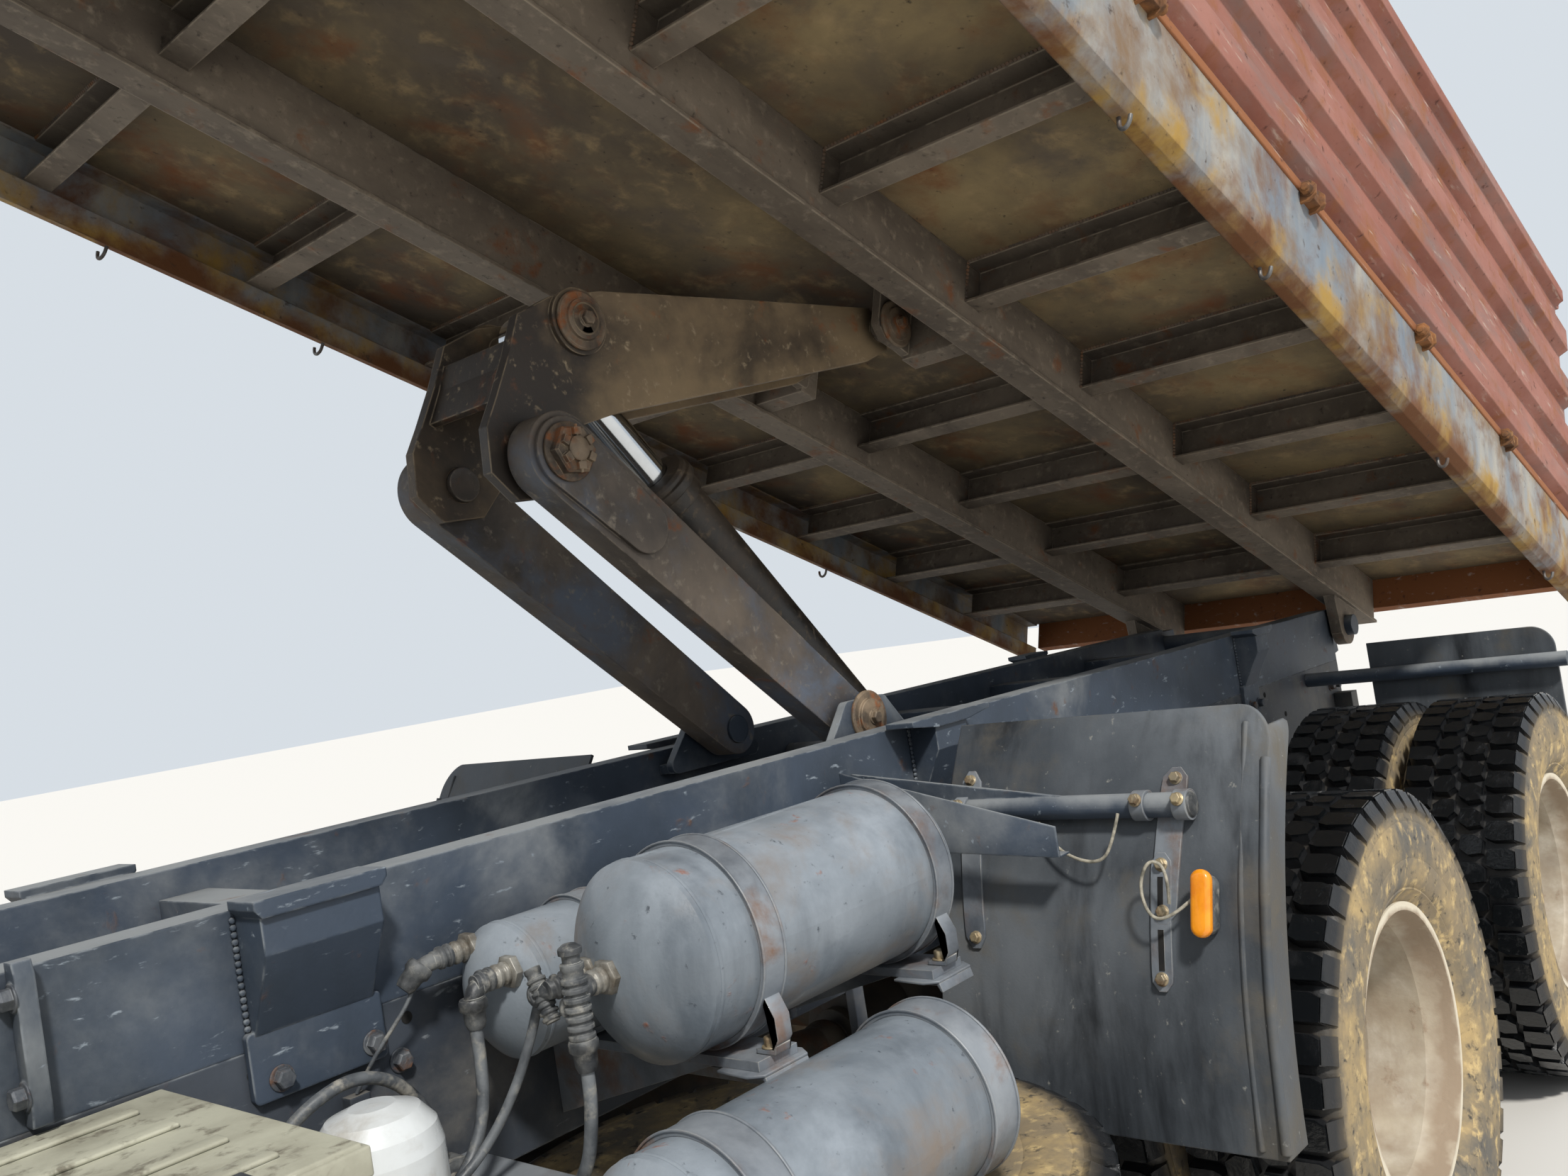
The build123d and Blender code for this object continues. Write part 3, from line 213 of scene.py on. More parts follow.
def patch_layer(tint, amount, scale, soft=0.2, rough=0.75, relief=0.1, upward=0.0, stretch=(1, 1, 1), band=None):
    # one layer of a finish: real wear and dirt, and on the tanks and guards painted light; band is
    # (direction, low, high, weight) and favours a zone
    return tint, amount, scale, soft, rough, relief, upward, stretch, band


def finish(name, base, layers, rough=0.55, metal=0.0, grain=120.0, relief=0.15, coat=0.0, edge=None,
           corner=None, turn=0.0):
    # edge is (colour, width, amount) and corner is painted shade in corners, as (colour, reach, amount)
    made, shader = plain(name, (0.5, 0.5, 0.5), Metallic=metal, Coat_Weight=coat)
    tree = made.node_tree
    place = put(tree, "ShaderNodeTexCoord", {}).outputs["Object"]
    fine = put(tree, "ShaderNodeTexNoise", {"Vector": place, "Scale": grain, "Detail": 4})
    height = number(tree, "MULTIPLY", fine.outputs[0], relief)
    colour, dull = tone(base), rough
    for i, (tint, amount, scale, soft, flat, depth, upward, stretch, band) in enumerate(layers):
        extra = 0.0
        if band:
            way, low, high, weight = band
            reach = put(tree, "ShaderNodeVectorMath", {0: place, 1: way}, operation="DOT_PRODUCT")
            extra = put(tree, "ShaderNodeMapRange", {"Value": reach.outputs["Value"], "From Min": low,
                                                     "From Max": high, "To Max": weight}).outputs[0]
        mask = put(tree, "ShaderNodeGroup", {
            "Scale": scale, "Amount": amount, "Softness": soft, "Upward": upward, "Extra": extra,
            "Shift": LAYER_SHIFT * i, "Turn": turn, "Stretch": stretch}, node_tree=patches).outputs[0]
        colour = blend(tree, mask, colour, tone(tint))
        dull = blend(tree, mask, dull, flat)
        if depth:
            height = number(tree, "MULTIPLY_ADD", mask, depth, height)
    # painted shade: the corner colour darkens the finish where ambient occlusion finds other surfaces near
    if corner:
        shut = put(tree, "ShaderNodeGroup", {"Reach": corner[1], "Amount": corner[2]}, node_tree=corners)
        colour = blend(tree, shut.outputs[0], colour, tone(corner[0]))
    bump = put(tree, "ShaderNodeBump", {"Strength": BUMP_STRENGTH, "Distance": BUMP_DEPTH, "Height": height})
    if edge:
        sharp = put(tree, "ShaderNodeGroup", {"Width": edge[1], "Amount": edge[2]}, node_tree=edges)
        colour = blend(tree, sharp.outputs["Mask"], colour, tone(edge[0]))
        feed(tree, bump, {"Normal": sharp.outputs["Normal"]})
    feed(tree, shader, {"Base Color": colour, "Roughness": dull, "Normal": bump.outputs[0]})
    return made


def dress(made, *names):
    # a CAD node keeps its mesh and takes this finish
    for name in names:
        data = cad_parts[name].data
        data.materials.clear()
        data.materials.append(made)


BED_TURN = math.radians(21.1)
BED_UP = (-math.sin(BED_TURN), 0, math.cos(BED_TURN))
SHIFT_X = -1076.563
HINGE = Vector((-2364.0, 0, 1237.0))
BED_Z = 1320.3


def bed_level(h):
    # how far up the bed's own normal a height over its lower face lies, in metres
    return (BED_UP[0] * (HINGE.x + SHIFT_X) + BED_UP[2] * HINGE.z + BED_Z + h - HINGE.z) / 1000


beam_coat = finish("beam coat", "766b5e", [
    patch_layer("8d8070", 0.58, 1.8, 0.28, 0.75, 0.1),
    patch_layer("5c5248", 0.42, 4.0, 0.22, 0.80, 0.1, stretch=(0.5, 1, 1)),
    patch_layer("9c8f7d", 0.16, 30.0, 0.14, 0.85, 0.1),
    patch_layer("87532e", 0.12, 10.0, 0.10, 0.90, 0.5),
    patch_layer("40382f", 0.10, 48.0, 0.10, 0.80, 0.3),
# corner: painted shade darkening the beams and cross-members where other parts close in
], rough=0.72, grain=160, edge=("b0a28e", 0.006, 0.75), corner=("352e28", 0.14, 0.7), turn=BED_TURN)
plate_coat = finish("floor plate coat", "9a8765", [
    patch_layer("b09a6e", 0.55, 1.5, 0.26, 0.85, 0.1),
    patch_layer("564c42", 0.40, 1.6, 0.26, 0.80, 0.1, band=((0, 1, 0), 0.42, 0.30, 0.14)),
    patch_layer("6b6054", 0.22, 6.0, 0.18, 0.85, 0.2),
    patch_layer("8c532e", 0.18, 4.0, 0.16, 0.95, 0.4),
    patch_layer("b59c73", 0.12, 14.0, 0.18, 0.90, 0.1),
    patch_layer("453c32", 0.05, 50.0, 0.08, 0.90, 0.4),
# corner: painted shade darkening the floor plate where the beams close in
], rough=0.8, grain=90, corner=("352e26", 0.25, 0.75), turn=BED_TURN)
dress(beam_coat, "bed_grillage", "bed_crosses")
dress(plate_coat, "bed_floor")

# Near and far side rails: folded plate that closes the bed's lower edges. Worn blue
# paint shows under cream and mustard overspray, over rust that is worst on the lip.
rail_coat = finish("side rail coat", "7d858c", [
    patch_layer("667482", 0.42, 2.2, 0.24, 0.55, 0.0, stretch=(3.0, 0.6, 0.6)),
    patch_layer("a8a296", 0.40, 2.6, 0.22, 0.60, 0.1, stretch=(2.6, 0.6, 0.6)),
    patch_layer("7a634b", 0.36, 6.0, 0.16, 0.85, 0.3),
    patch_layer("a5843f", 0.24, 5.0, 0.12, 0.80, 0.5, band=(BED_UP, bed_level(130), bed_level(10), 0.12)),
    patch_layer("6b4426", 0.28, 5.0, 0.14, 0.95, 0.6, band=(BED_UP, bed_level(60), bed_level(-6), 0.18)),
    patch_layer("43342a", 0.08, 34.0, 0.08, 0.95, 0.4),
], rough=0.5, grain=110, edge=("5d4a38", 0.006, 0.6), turn=BED_TURN)
dress(rail_coat, "side_rails")

# Ribbed side boards, headboard and tailgate: pressed steel under a faded red coat
# that has gone pink and chalky, rusty along the folds, on a rust-brown lower ledge.
board_coat = finish("board coat", "965c4c", [
    patch_layer("a67668", 0.50, 1.6, 0.28, 0.70, 0.0, stretch=(0.6, 1.6, 1.6)),
    patch_layer("7e4939", 0.40, 3.4, 0.22, 0.80, 0.1, stretch=(0.5, 1, 1)),
    patch_layer("7d6862", 0.26, 6.0, 0.18, 0.75, 0.1, stretch=(0.4, 1, 2)),
    patch_layer("8d5833", 0.22, 8.0, 0.14, 0.90, 0.3, band=(BED_UP, bed_level(285), bed_level(262), 0.36)),
    patch_layer("b39f92", 0.12, 26.0, 0.08, 0.80, 0.1, stretch=(0.25, 1, 2)),
    patch_layer("52332a", 0.10, 36.0, 0.08, 0.95, 0.4),
], rough=0.6, grain=100, edge=("6b4434", 0.008, 0.6), turn=BED_TURN)
dress(board_coat, "side_boards", "headboard", "tailgate")

# Scissor hoist: heavy plate lever, twin tension arms and the ram. Tan road dust over
# dark paint, greasy black round each pin, and a polished rod.


def near_line(point, reach, weight):
    # a zone that grows towards a plane through the point, seen along the truck
    return (1, 0, 0), (point + SHIFT_X + reach) / 1000, (point + SHIFT_X - reach) / 1000, weight


lever_coat = finish("lever coat", "7f6b53", [
    patch_layer("96815f", 0.52, 1.6, 0.28, 0.70, 0.0),
    patch_layer("655543", 0.44, 3.0, 0.22, 0.72, 0.1, stretch=(0.5, 1, 1)),
    patch_layer("342d27", 0.34, 3.2, 0.16, 0.50, 0.1, band=near_line(1000, -170, 0.22)),
    patch_layer("93562c", 0.10, 9.0, 0.10, 0.90, 0.4),
    patch_layer("a8967a", 0.10, 40.0, 0.10, 0.80, 0.1),
# corner: painted shade darkening the lever where other parts close in
], rough=0.62, grain=140, edge=("a08e74", 0.005, 0.7), corner=("1f1b18", 0.10, 0.8))
arm_coat = finish("arm coat", "5c5147", [
    patch_layer("73675a", 0.50, 2.0, 0.26, 0.70, 0.1),
    patch_layer("39332e", 0.44, 3.4, 0.18, 0.55, 0.1),
    patch_layer("566273", 0.26, 4.0, 0.14, 0.55, 0.1, band=near_line(620, 240, 0.10)),
    patch_layer("8a8072", 0.12, 40.0, 0.12, 0.80, 0.1),
    patch_layer("7d4b2b", 0.10, 14.0, 0.10, 0.90, 0.4),
# corner: painted shade darkening the arms where other parts close in
], rough=0.6, grain=140, edge=("8c8172", 0.005, 0.6), corner=("1c1917", 0.10, 0.8))
ram_coat = finish("ram coat", "2b2622", [
    patch_layer("4a3f34", 0.45, 5.0, 0.20, 0.6, 0.2),
    patch_layer("15130f", 0.40, 9.0, 0.20, 0.35, 0.2),
    patch_layer("6b5c49", 0.20, 40.0, 0.12, 0.7, 0.2),
], rough=0.45, edge=("574a3b", 0.004, 0.5))
bright_rod = finish("polished rod", "d4d8dc", [patch_layer("a7acb2", 0.3, 3.0, 0.2, 0.18, 0.0)], rough=0.12,
                    metal=1.0, relief=0.0)
dress(lever_coat, "hoist_lever")
dress(arm_coat, "tension_arms")
dress(ram_coat, "ram_barrel")
dress(bright_rod, "ram_rod")

# Pins of the hoist: forged pins with a collar, or a castle nut and a split pin, at
# each end, and a ring gland where the rod leaves the ram.
CHASSIS = Matrix.Scale(0.001, 4) @ Matrix.Translation((SHIFT_X, 0, 0))
BED = CHASSIS @ Matrix.Translation(HINGE) @ Matrix.Rotation(-BED_TURN, 4, "Y") @ Matrix.Translation(-HINGE)
FAR_SIDE = Matrix.Scale(-1, 4, (0, 1, 0))
OUT, FORE, DOWN = (0, 1, 0), (1, 0, 0), (0, 0, -1)
ROD_PIN, ARM_HEAD, ARM_FOOT, NOSE_LOW = (950, 2240), (1105, 1955), (365, 1329), (146, 1397)


def both_sides(parts):
    return parts + [(data, FAR_SIDE @ place) for data, place in parts]


def aim(point, way):
    # puts a turned piece's foot at a point, with its axis along a direction
    return Matrix.Translation(point) @ Vector(way).to_track_quat("Z", "Y").to_matrix().to_4x4()


def at(data, point, way=None):
    # a piece standing on the chassis, aimed along a direction or left upright
    return data, CHASSIS @ (aim(point, way) if way else Matrix.Translation(point))


def mesh_of(shape, name, made=None):
    bmesh.ops.recalc_face_normals(shape, faces=shape.faces)
    data = bpy.data.meshes.new(name)
    shape.to_mesh(data)
    shape.free()
    if made:
        data.materials.append(made)
    return data


def turned(profile, steps, made, closed=False):
    # rows of (radius, height) turned about Z; radius 0 is a pole
    shape = bmesh.new()
    rings = []
    for r, z in profile:
        if r == 0:
            rings.append([shape.verts.new((0, 0, z))] * steps)
        else:
            rings.append([shape.verts.new((r * math.cos(2 * math.pi * i / steps),
                                           r * math.sin(2 * math.pi * i / steps), z)) for i in range(steps)])
    for low, high in zip(rings, rings[1:] + rings[:1] if closed else rings[1:]):
        for i in range(steps):
            k = (i + 1) % steps
            around_face = list(dict.fromkeys((low[i], low[k], high[k], high[i])))
            if len(around_face) > 2:
                shape.faces.new(around_face)
    return mesh_of(shape, "turned", made)


def barrel(radius, low, high, steps, made):
    return turned([(0, low), (radius, low), (radius, high), (0, high)], steps, made)


def hoop(r0, r1, low, high, steps, made):
    return turned([(r0, low), (r1, low), (r1, high), (r0, high)], steps, made, closed=True)


def prism(base, crown, name, made):
    # closes two outlines of the same count into a solid
    shape = bmesh.new()
    rows = [[shape.verts.new(p) for p in outline] for outline in (base, crown)]
    for row in rows:
        shape.faces.new(row)
    for i in range(len(base)):
        k = (i + 1) % len(base)
        shape.faces.new((rows[0][i], rows[0][k], rows[1][k], rows[1][i]))
    return mesh_of(shape, name, made)


def slab(outline, low, high, across, made):
    # a flat outline given thickness across the x, y or z axis
    place = "xyz".index(across)
    rows = [[(*p[:place], level_at, *p[place:]) for p in outline] for level_at in (low, high)]
    return prism(rows[0], rows[1], "slab", made)


def block(x, y, z, made):
    # a box on the chassis between two values along each axis
    return slab([(x[0], y[0]), (x[1], y[0]), (x[1], y[1]), (x[0], y[1])], *z, "z", made), CHASSIS


def joined(name, meshes):
    # one mesh from several, each with its own finish
    whole = bpy.data.meshes.new(name)
    shape = bmesh.new()
    for data, place in meshes:
        slots = []
        for m in data.materials:
            if m.name not in whole.materials:
                whole.materials.append(m)
            slots.append(whole.materials.find(m.name))
        part = bmesh.new()
        part.from_mesh(data)
        part.transform(place)
        if place.determinant() < 0:
            bmesh.ops.reverse_faces(part, faces=part.faces)
        for f in part.faces:
            f.material_index = slots[f.material_index]
        spare = bpy.data.meshes.new("spare")
        part.to_mesh(spare)
        part.free()
        shape.from_mesh(spare)
        bpy.data.meshes.remove(spare)
    shape.to_mesh(whole)
    shape.free()
    return whole


def evaluated(thing):
    # plain geometry of an object with its modifiers and curve settings worked out
    bpy.context.view_layer.update()
    seen_by = bpy.context.evaluated_depsgraph_get()
    return bpy.data.meshes.new_from_object(thing.evaluated_get(seen_by), depsgraph=seen_by)


def piece(name, parts, body, bevel=0.0, angle=35, replaces=(), segments=2):
    # a finished piece: its place is in its mesh and it rides on a body
    made = bpy.data.objects.new(name, joined(name, parts))
    scene.collection.objects.link(made)
    if bevel:
        edge = made.modifiers.new("edge", "BEVEL")
        edge.width = bevel
        edge.segments = segments
        edge.limit_method = "ANGLE"
        edge.angle_limit = math.radians(angle)
        made.data = evaluated(made)
        made.modifiers.clear()
    made.data.shade_smooth()
    made.data.set_sharp_from_angle(angle=math.radians(angle))
    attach(made, body)
    if replaces:
        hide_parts(*replaces)
    return made


def hex_bolt(flat, height, washer, made, lift=2.5):
    # a hexagon head on a round washer, standing on its washer
    disc = turned([(0, 0), (washer, 0), (washer, lift * 0.7), (washer - 1, lift), (0, lift)], 24, made)
    head = turned([(0, lift), (flat * 0.577, lift), (flat * 0.577, height * 0.84), (flat * 0.5, height),
                   (0, height)], 6, made)
    return joined("bolt", [(disc, Matrix()), (head, Matrix())])


pin_steel = finish("pin steel", "6e5f4f", [
    patch_layer("8c7a64", 0.50, 9.0, 0.22, 0.7, 0.2),
    patch_layer("3a322b", 0.44, 14.0, 0.16, 0.6, 0.3),
    patch_layer("8c5530", 0.28, 22.0, 0.10, 0.9, 0.5),
], rough=0.55, metal=0.2, grain=180, edge=("a3927a", 0.003, 0.6))


def castle_nut(made):
    # washer, hexagon with a slotted crown, domed pin end and a split pin across it
    rows = (([(0, 0), (58, 0), (58, 5), (55, 7), (0, 7)], 40),
            ([(0, 7), (50, 7), (50, 24), (45, 28), (0, 28)], 6),
            ([(0, 28), (24, 28), (24, 36), (18, 40), (0, 41)], 24))
    parts = [(turned(profile, steps, made), Matrix()) for profile, steps in rows]
    tooth = slab([(26, -9), (40, -8), (40, 8), (26, 9)], 27, 38, "z", made)
    parts += [(tooth, Matrix.Rotation(math.radians(60 * i + 30), 4, "Z")) for i in range(6)]
    parts.append((turned([(0, -47), (3, -46), (3, 46), (0, 47)], 8, made),
                  Matrix.Translation((0, 0, 33)) @ Matrix.Rotation(math.radians(90), 4, "X")))
    return joined("castle nut", parts)


big_nut = castle_nut(pin_steel)
collar = joined("collar", [
    (turned([(0, 0), (62, 0), (62, 5), (58, 8), (0, 8)], 40, pin_steel), Matrix()),
    (turned([(0, 8), (44, 8), (42, 15), (30, 18), (0, 18)], 32, pin_steel), Matrix()),
    (hex_bolt(26, 14, 18, pin_steel), Matrix.Translation((0, 0, 18))),
])
for name, cap, frame_of, (x, z), y, body in (
        ("rod_pin_caps", collar, CHASSIS, ROD_PIN, 152, "hoist_lever"),
        ("arm_head_nuts", big_nut, CHASSIS, ARM_HEAD, 234, "hoist_arms"),
        ("nose_pin_caps", collar, BED, NOSE_LOW, 198, "bed"),
        ("foot_pin_caps", collar, CHASSIS, ARM_FOOT, 262, "chassis")):
    piece(name, both_sides([(cap, frame_of @ aim((x, y, z), OUT))]), body)
RAM_FOOT = Vector((20, 0, 1212))
RAM_WAY = (Vector((ROD_PIN[0], 0, ROD_PIN[1])) - RAM_FOOT).normalized()
RAM_LENGTH, PORT_REACH = 965, 200
gland = turned([(46, -30), (88, -30), (90, -26), (90, -8), (84, -4), (84, 4), (78, 12), (60, 16), (46, 16)],
               40, ram_coat, closed=True)
port = turned([(0, 70), (20, 70), (20, 92), (16, 96), (16, 112), (0, 112)], 16, ram_coat)
parts = [at(gland, RAM_FOOT + RAM_WAY * RAM_LENGTH, RAM_WAY),
         at(port, RAM_FOOT + RAM_WAY * PORT_REACH, (RAM_WAY.z, 0, -RAM_WAY.x))]
piece("ram_gland", parts, "ram_barrel", angle=30)

# Weld seams of the bed: each cross-member is fillet welded to the beam and the rail.
# The runs are rows of small overlapping ripples, left unpainted long enough to rust.
WELD_STEP, WELD_RADIUS = 9.0, 5.0
CROSS_REAR_X, CROSS_PITCH, CROSS_W, CROSS_COUNT = -2110.0, 553.0, 62.0, 9
UNDER = BED_Z + 176


def build_copies(name, extra, lay_out):
    # copies a piece: Piece, Count, Finish and the extra inputs that lay_out reads
    tree, given, wanted = new_group(name, "GeometryNodeTree", [
        ("Piece", "Object", 0), ("Count", "Int", 10), *extra, ("Finish", "Material", 0),
        ("Mesh", "Geometry", None)])
    source = put(tree, "GeometryNodeObjectInfo", {"Object": given["Piece"]})
    copies = put(tree, "GeometryNodeInstanceOnPoints", {"Instance": source.outputs["Geometry"],
                                                        **lay_out(tree, given)})
    real = put(tree, "GeometryNodeRealizeInstances", {0: copies.outputs[0]})
    skin = put(tree, "GeometryNodeSetMaterial", {"Geometry": real.outputs[0], "Material": given["Finish"]})
    feed(tree, wanted, {"Mesh": skin.outputs[0]})
    return tree


def in_a_row(tree, given):
    points = put(tree, "GeometryNodeMeshLine", {"Count": given["Count"], "Start Location": given["Start"],
                                                "Offset": given["Step"]})
    return {"Points": points.outputs[0]}


along = build_copies("along the row", [("Start", "Vector", (0, 0, 0)), ("Step", "Vector", (0, 0, 0))],
                     in_a_row)


def repeated(tree, data, **values):
    # runs a tree on a piece's mesh and gives back plain geometry
    source = bpy.data.objects.new("source", data)
    scene.collection.objects.link(source)
    host = bpy.data.objects.new("host", bpy.data.meshes.new("host"))
    scene.collection.objects.link(host)
    modifier = host.modifiers.new("copies", "NODES")
    modifier.node_group = tree
    values["Piece"] = source
    for item in tree.interface.items_tree:
        if item.in_out == "INPUT" and item.name in values:
            modifier[item.identifier] = values[item.name]
    result = evaluated(host)
    bpy.data.objects.remove(host)
    bpy.data.objects.remove(source)
    return result


weld_steel = finish("weld steel", "6a5c4e", [
    patch_layer("8a5a35", 0.40, 20.0, 0.16, 0.9, 0.3),
    patch_layer("3f3831", 0.40, 9.0, 0.16, 0.7, 0.2),
], rough=0.6, grain=200)


def weld(start, end, way, made=weld_steel):
    # a run of ripples from one point to the other, crowned towards way
    ripple = turned([(0, WELD_RADIUS * 0.62), (WELD_RADIUS * 0.75, WELD_RADIUS * 0.4), (WELD_RADIUS, 0),
                     (0, -1.5)], 7, made)
    ripple.transform(Vector(way).to_track_quat("Z", "Y").to_matrix().to_4x4())
    span = Vector(end) - Vector(start)
    count = max(2, int(span.length / WELD_STEP))
    return repeated(along, ripple, Count=count, Start=start, Step=span / (count - 1), Finish=made)


seams = []
for i in range(CROSS_COUNT):
    x = CROSS_REAR_X + CROSS_PITCH * i
    for spot, way in ((x - 1, -1), (x + CROSS_W + 1, 1)):
        seams.append((weld((spot, 432, BED_Z + 66), (spot, 432, UNDER - 6), (way, 1, 0)), BED))
        seams.append((weld((spot, 436, UNDER - 1), (spot, 1096, UNDER - 1), (way, 0, -1)), BED))
piece("bed_welds", both_sides(seams), "bed")

# Tarp hooks under the rail and the latches on its ledge: bent round bar, and rusted
# hinge bolts through pairs of lugs that once held a drop side.
NEAR_HOOKS, FAR_HOOKS = (654, 30, -1162, -2265), (1610, 1024, -1137)
LATCHES = (2213, 1437, 661, -115, -891, -1667)


def curve_of(name, route, radius, sides, smooth):
    # a round bar, wire or hose along a smooth line
    path = bpy.data.curves.new(name, "CURVE")
    path.dimensions = "3D"
    path.bevel_depth = radius
    path.bevel_resolution = sides
    path.use_fill_caps = True
    path.resolution_u = smooth
    line = path.splines.new("NURBS")
    line.points.add(len(route) - 1)
    for spot, p in zip(line.points, route):
        spot.co = (*p, 1)
    line.order_u = 3
    line.use_endpoint_u = True
    made = bpy.data.objects.new(name, path)
    scene.collection.objects.link(made)
    return made


def bent(route, radius, made, sides=3):
    # a round bar or wire as plain geometry, on the chassis
    host = curve_of("bar", route, radius, sides, 8)
    shape = bmesh.new()
    shape.from_mesh(evaluated(host))
    bpy.data.objects.remove(host)
    bmesh.ops.remove_doubles(shape, verts=shape.verts, dist=radius * 0.01)
    return mesh_of(shape, "bar", made), CHASSIS


hook_steel = finish("hook steel", "5a5856", [
    patch_layer("8a8986", 0.40, 16.0, 0.2, 0.45, 0.1),
    patch_layer("5f4433", 0.36, 12.0, 0.12, 0.85, 0.4),
], rough=0.45, metal=0.5, grain=200)
hook = bent([(0, 1112, 8), (0, 1113, -10), (1, 1115, -26), (4, 1126, -36), (7, 1139, -28), (8, 1141, -12)],
            4.5, hook_steel)[0]
parts = [(hook, BED @ Matrix.Translation((x, 0, BED_Z))) for x in NEAR_HOOKS]
parts += [(hook, FAR_SIDE @ BED @ Matrix.Translation((x, 0, BED_Z))) for x in FAR_HOOKS]
piece("tarp_hooks", parts, "bed", angle=50)

latch_steel = finish("latch steel", "7d4f2c", [
    patch_layer("9c6a3a", 0.50, 12.0, 0.2, 0.9, 0.3),
    patch_layer("4a3322", 0.40, 20.0, 0.16, 0.85, 0.4),
], rough=0.8, grain=180, edge=("b08a5c", 0.003, 0.5))
lug = [(1150, 0), (1180, 2), (1196, 16), (1196, 40), (1184, 54), (1158, 54), (1150, 40)]
latch = [(slab(lug, x, x + 8, "x", latch_steel), Matrix()) for x in (-30, 22)]
latch.append((barrel(9, -52, 50, 16, latch_steel), aim((0, 1178, 28), FORE)))
latch += [(hex_bolt(26, 15, 17, latch_steel), aim((x, 1178, 28), (x, 0, 0))) for x in (30, -30)]
latch.append((slab([(-22, 1150), (22, 1150), (22, 1186), (-22, 1186)], 12, 44, "z", latch_steel), Matrix()))
latch_mesh = joined("latch", latch)
parts = [(latch_mesh, BED @ Matrix.Translation((x, 0, BED_Z + 206))) for x in LATCHES]
piece("side_latches", both_sides(parts), "bed", bevel=0.0012, angle=40)

# Ladder frame, subframe and brackets: navy chassis paint with light scuffs, dusty
# along every upper face, and plainer grey on the lower rails.
SCUFF = (0.35, 1, 1)
sub_coat = finish("subframe coat", "3a4554", [
    patch_layer("444f5e", 0.52, 1.8, 0.28, 0.60, 0.0),
    patch_layer("2e3741", 0.38, 3.6, 0.24, 0.50, 0.0),
    patch_layer("85898b", 0.22, 3.0, 0.18, 0.90, 0.0, upward=0.22),
    patch_layer("8a949d", 0.10, 60.0, 0.05, 0.70, 0.1, stretch=SCUFF),
    patch_layer("6a4a34", 0.06, 12.0, 0.08, 0.90, 0.4),
# corner: painted shade darkening the subframe where other parts close in
], rough=0.48, grain=150, edge=("858b90", 0.005, 0.6), corner=("1f252e", 0.10, 0.6))
frame_coat = finish("chassis coat", "3a424d", [
    patch_layer("4c525b", 0.52, 2.4, 0.26, 0.70, 0.1),
    patch_layer("2a3038", 0.40, 4.0, 0.24, 0.50, 0.0),
    patch_layer("86827a", 0.24, 3.0, 0.18, 0.90, 0.1, upward=0.24),
    patch_layer("858b90", 0.10, 52.0, 0.06, 0.75, 0.1, stretch=SCUFF),
    patch_layer("6a4029", 0.07, 11.0, 0.08, 0.90, 0.5),
# corner: painted shade darkening the frame where other parts close in
], rough=0.5, grain=150, edge=("7d8285", 0.005, 0.6), corner=("181b20", 0.14, 0.7))
dress(sub_coat, "subframe", "subframe_crosses", "body_rests", "mudguard_stays")
dress(frame_coat, "frame_rails", "frame_crosses", "rear_bar", "spare_cradle")
running_coat = finish("running gear coat", "2a2826", [
    patch_layer("5a5144", 0.46, 3.0, 0.22, 0.85, 0.2, upward=0.2),
    patch_layer("5d3a24", 0.26, 8.0, 0.12, 0.90, 0.6),
    patch_layer("17181a", 0.40, 6.0, 0.20, 0.45, 0.1),
# corner: painted shade darkening axles, springs and shafts where other parts close in
], rough=0.6, edge=("6d6558", 0.005, 0.5), corner=("121110", 0.14, 0.7))
dress(running_coat, "axles", "leaf_springs", "prop_shafts", "engine_block", "knuckle_left", "knuckle_right")

# Fasteners and seams of the frame: bolts through the rest brackets and cross-members,
# rows of unused holes, weld runs beside the brackets, and the subframe's end plate.
RAIL_FACE = 376.4
BRACKETS = ((1838, 88), (315, 60), (-1480, 48))
END_PLATE = [(376.3, 1122), (400, 1122), (404, 1140), (404, 1300), (398, 1317), (376.3, 1317)]
bolt_coat = finish("painted bolt", "3b4048", [
    patch_layer("6a6d70", 0.44, 24.0, 0.16, 0.6, 0.1),
    patch_layer("6b4a33", 0.26, 30.0, 0.10, 0.9, 0.4),
], rough=0.5, metal=0.3, grain=220, edge=("8d9092", 0.002, 0.5))
hole_dark = finish("open hole", "0c0d0f", [patch_layer("1a1815", 0.5, 60.0, 0.2, 0.9, 0.0)], rough=0.9, relief=0.0)
bolt = hex_bolt(24, 17, 18, bolt_coat)
bolt_out = bolt.copy()
hole_out = turned([(0, 0), (9, 0), (9, 0.5), (8, 0.9), (0, 0.4)], 20, hole_dark)
for data in (bolt_out, hole_out):
    data.transform(Matrix.Rotation(math.radians(-90), 4, "X"))
parts = [at(bolt, (1714, RAIL_FACE, 1029), OUT), (slab(END_PLATE, 2182, 2205, "x", sub_coat), CHASSIS)]
parts += [at(bolt, (2205, 390, z), FORE) for z in (1160, 1276)]
for x, web in BRACKETS:
    parts += [at(bolt, (x + dx, 389.2, 1071), OUT) for dx in (-web + 8, web - 28)]
    for dx, lean in ((-web - 4, -0.3), (web + 4, 0.3)):
        parts.append((weld((x + dx, 379, 1146), (x + dx, 379, 1292), (lean, 1, 0), sub_coat), CHASSIS))
for data, made, count, step, starts in (
        (bolt_out, bolt_coat, 2, 60,
         [(x - 30, z) for x in (-2250, -1400, 0, 1150, 2300) for z in (890, 1030)]),
        (hole_out, hole_dark, 36, -118, [(2520, 1085)]),
        (hole_out, hole_dark, 19, -236, [(2485, 998)])):
    parts += [(repeated(along, data, Count=count, Start=(x, RAIL_FACE, z), Step=(step, 0, 0), Finish=made),
               CHASSIS) for x, z in starts]
piece("frame_fasteners", both_sides(parts), "chassis", angle=30)

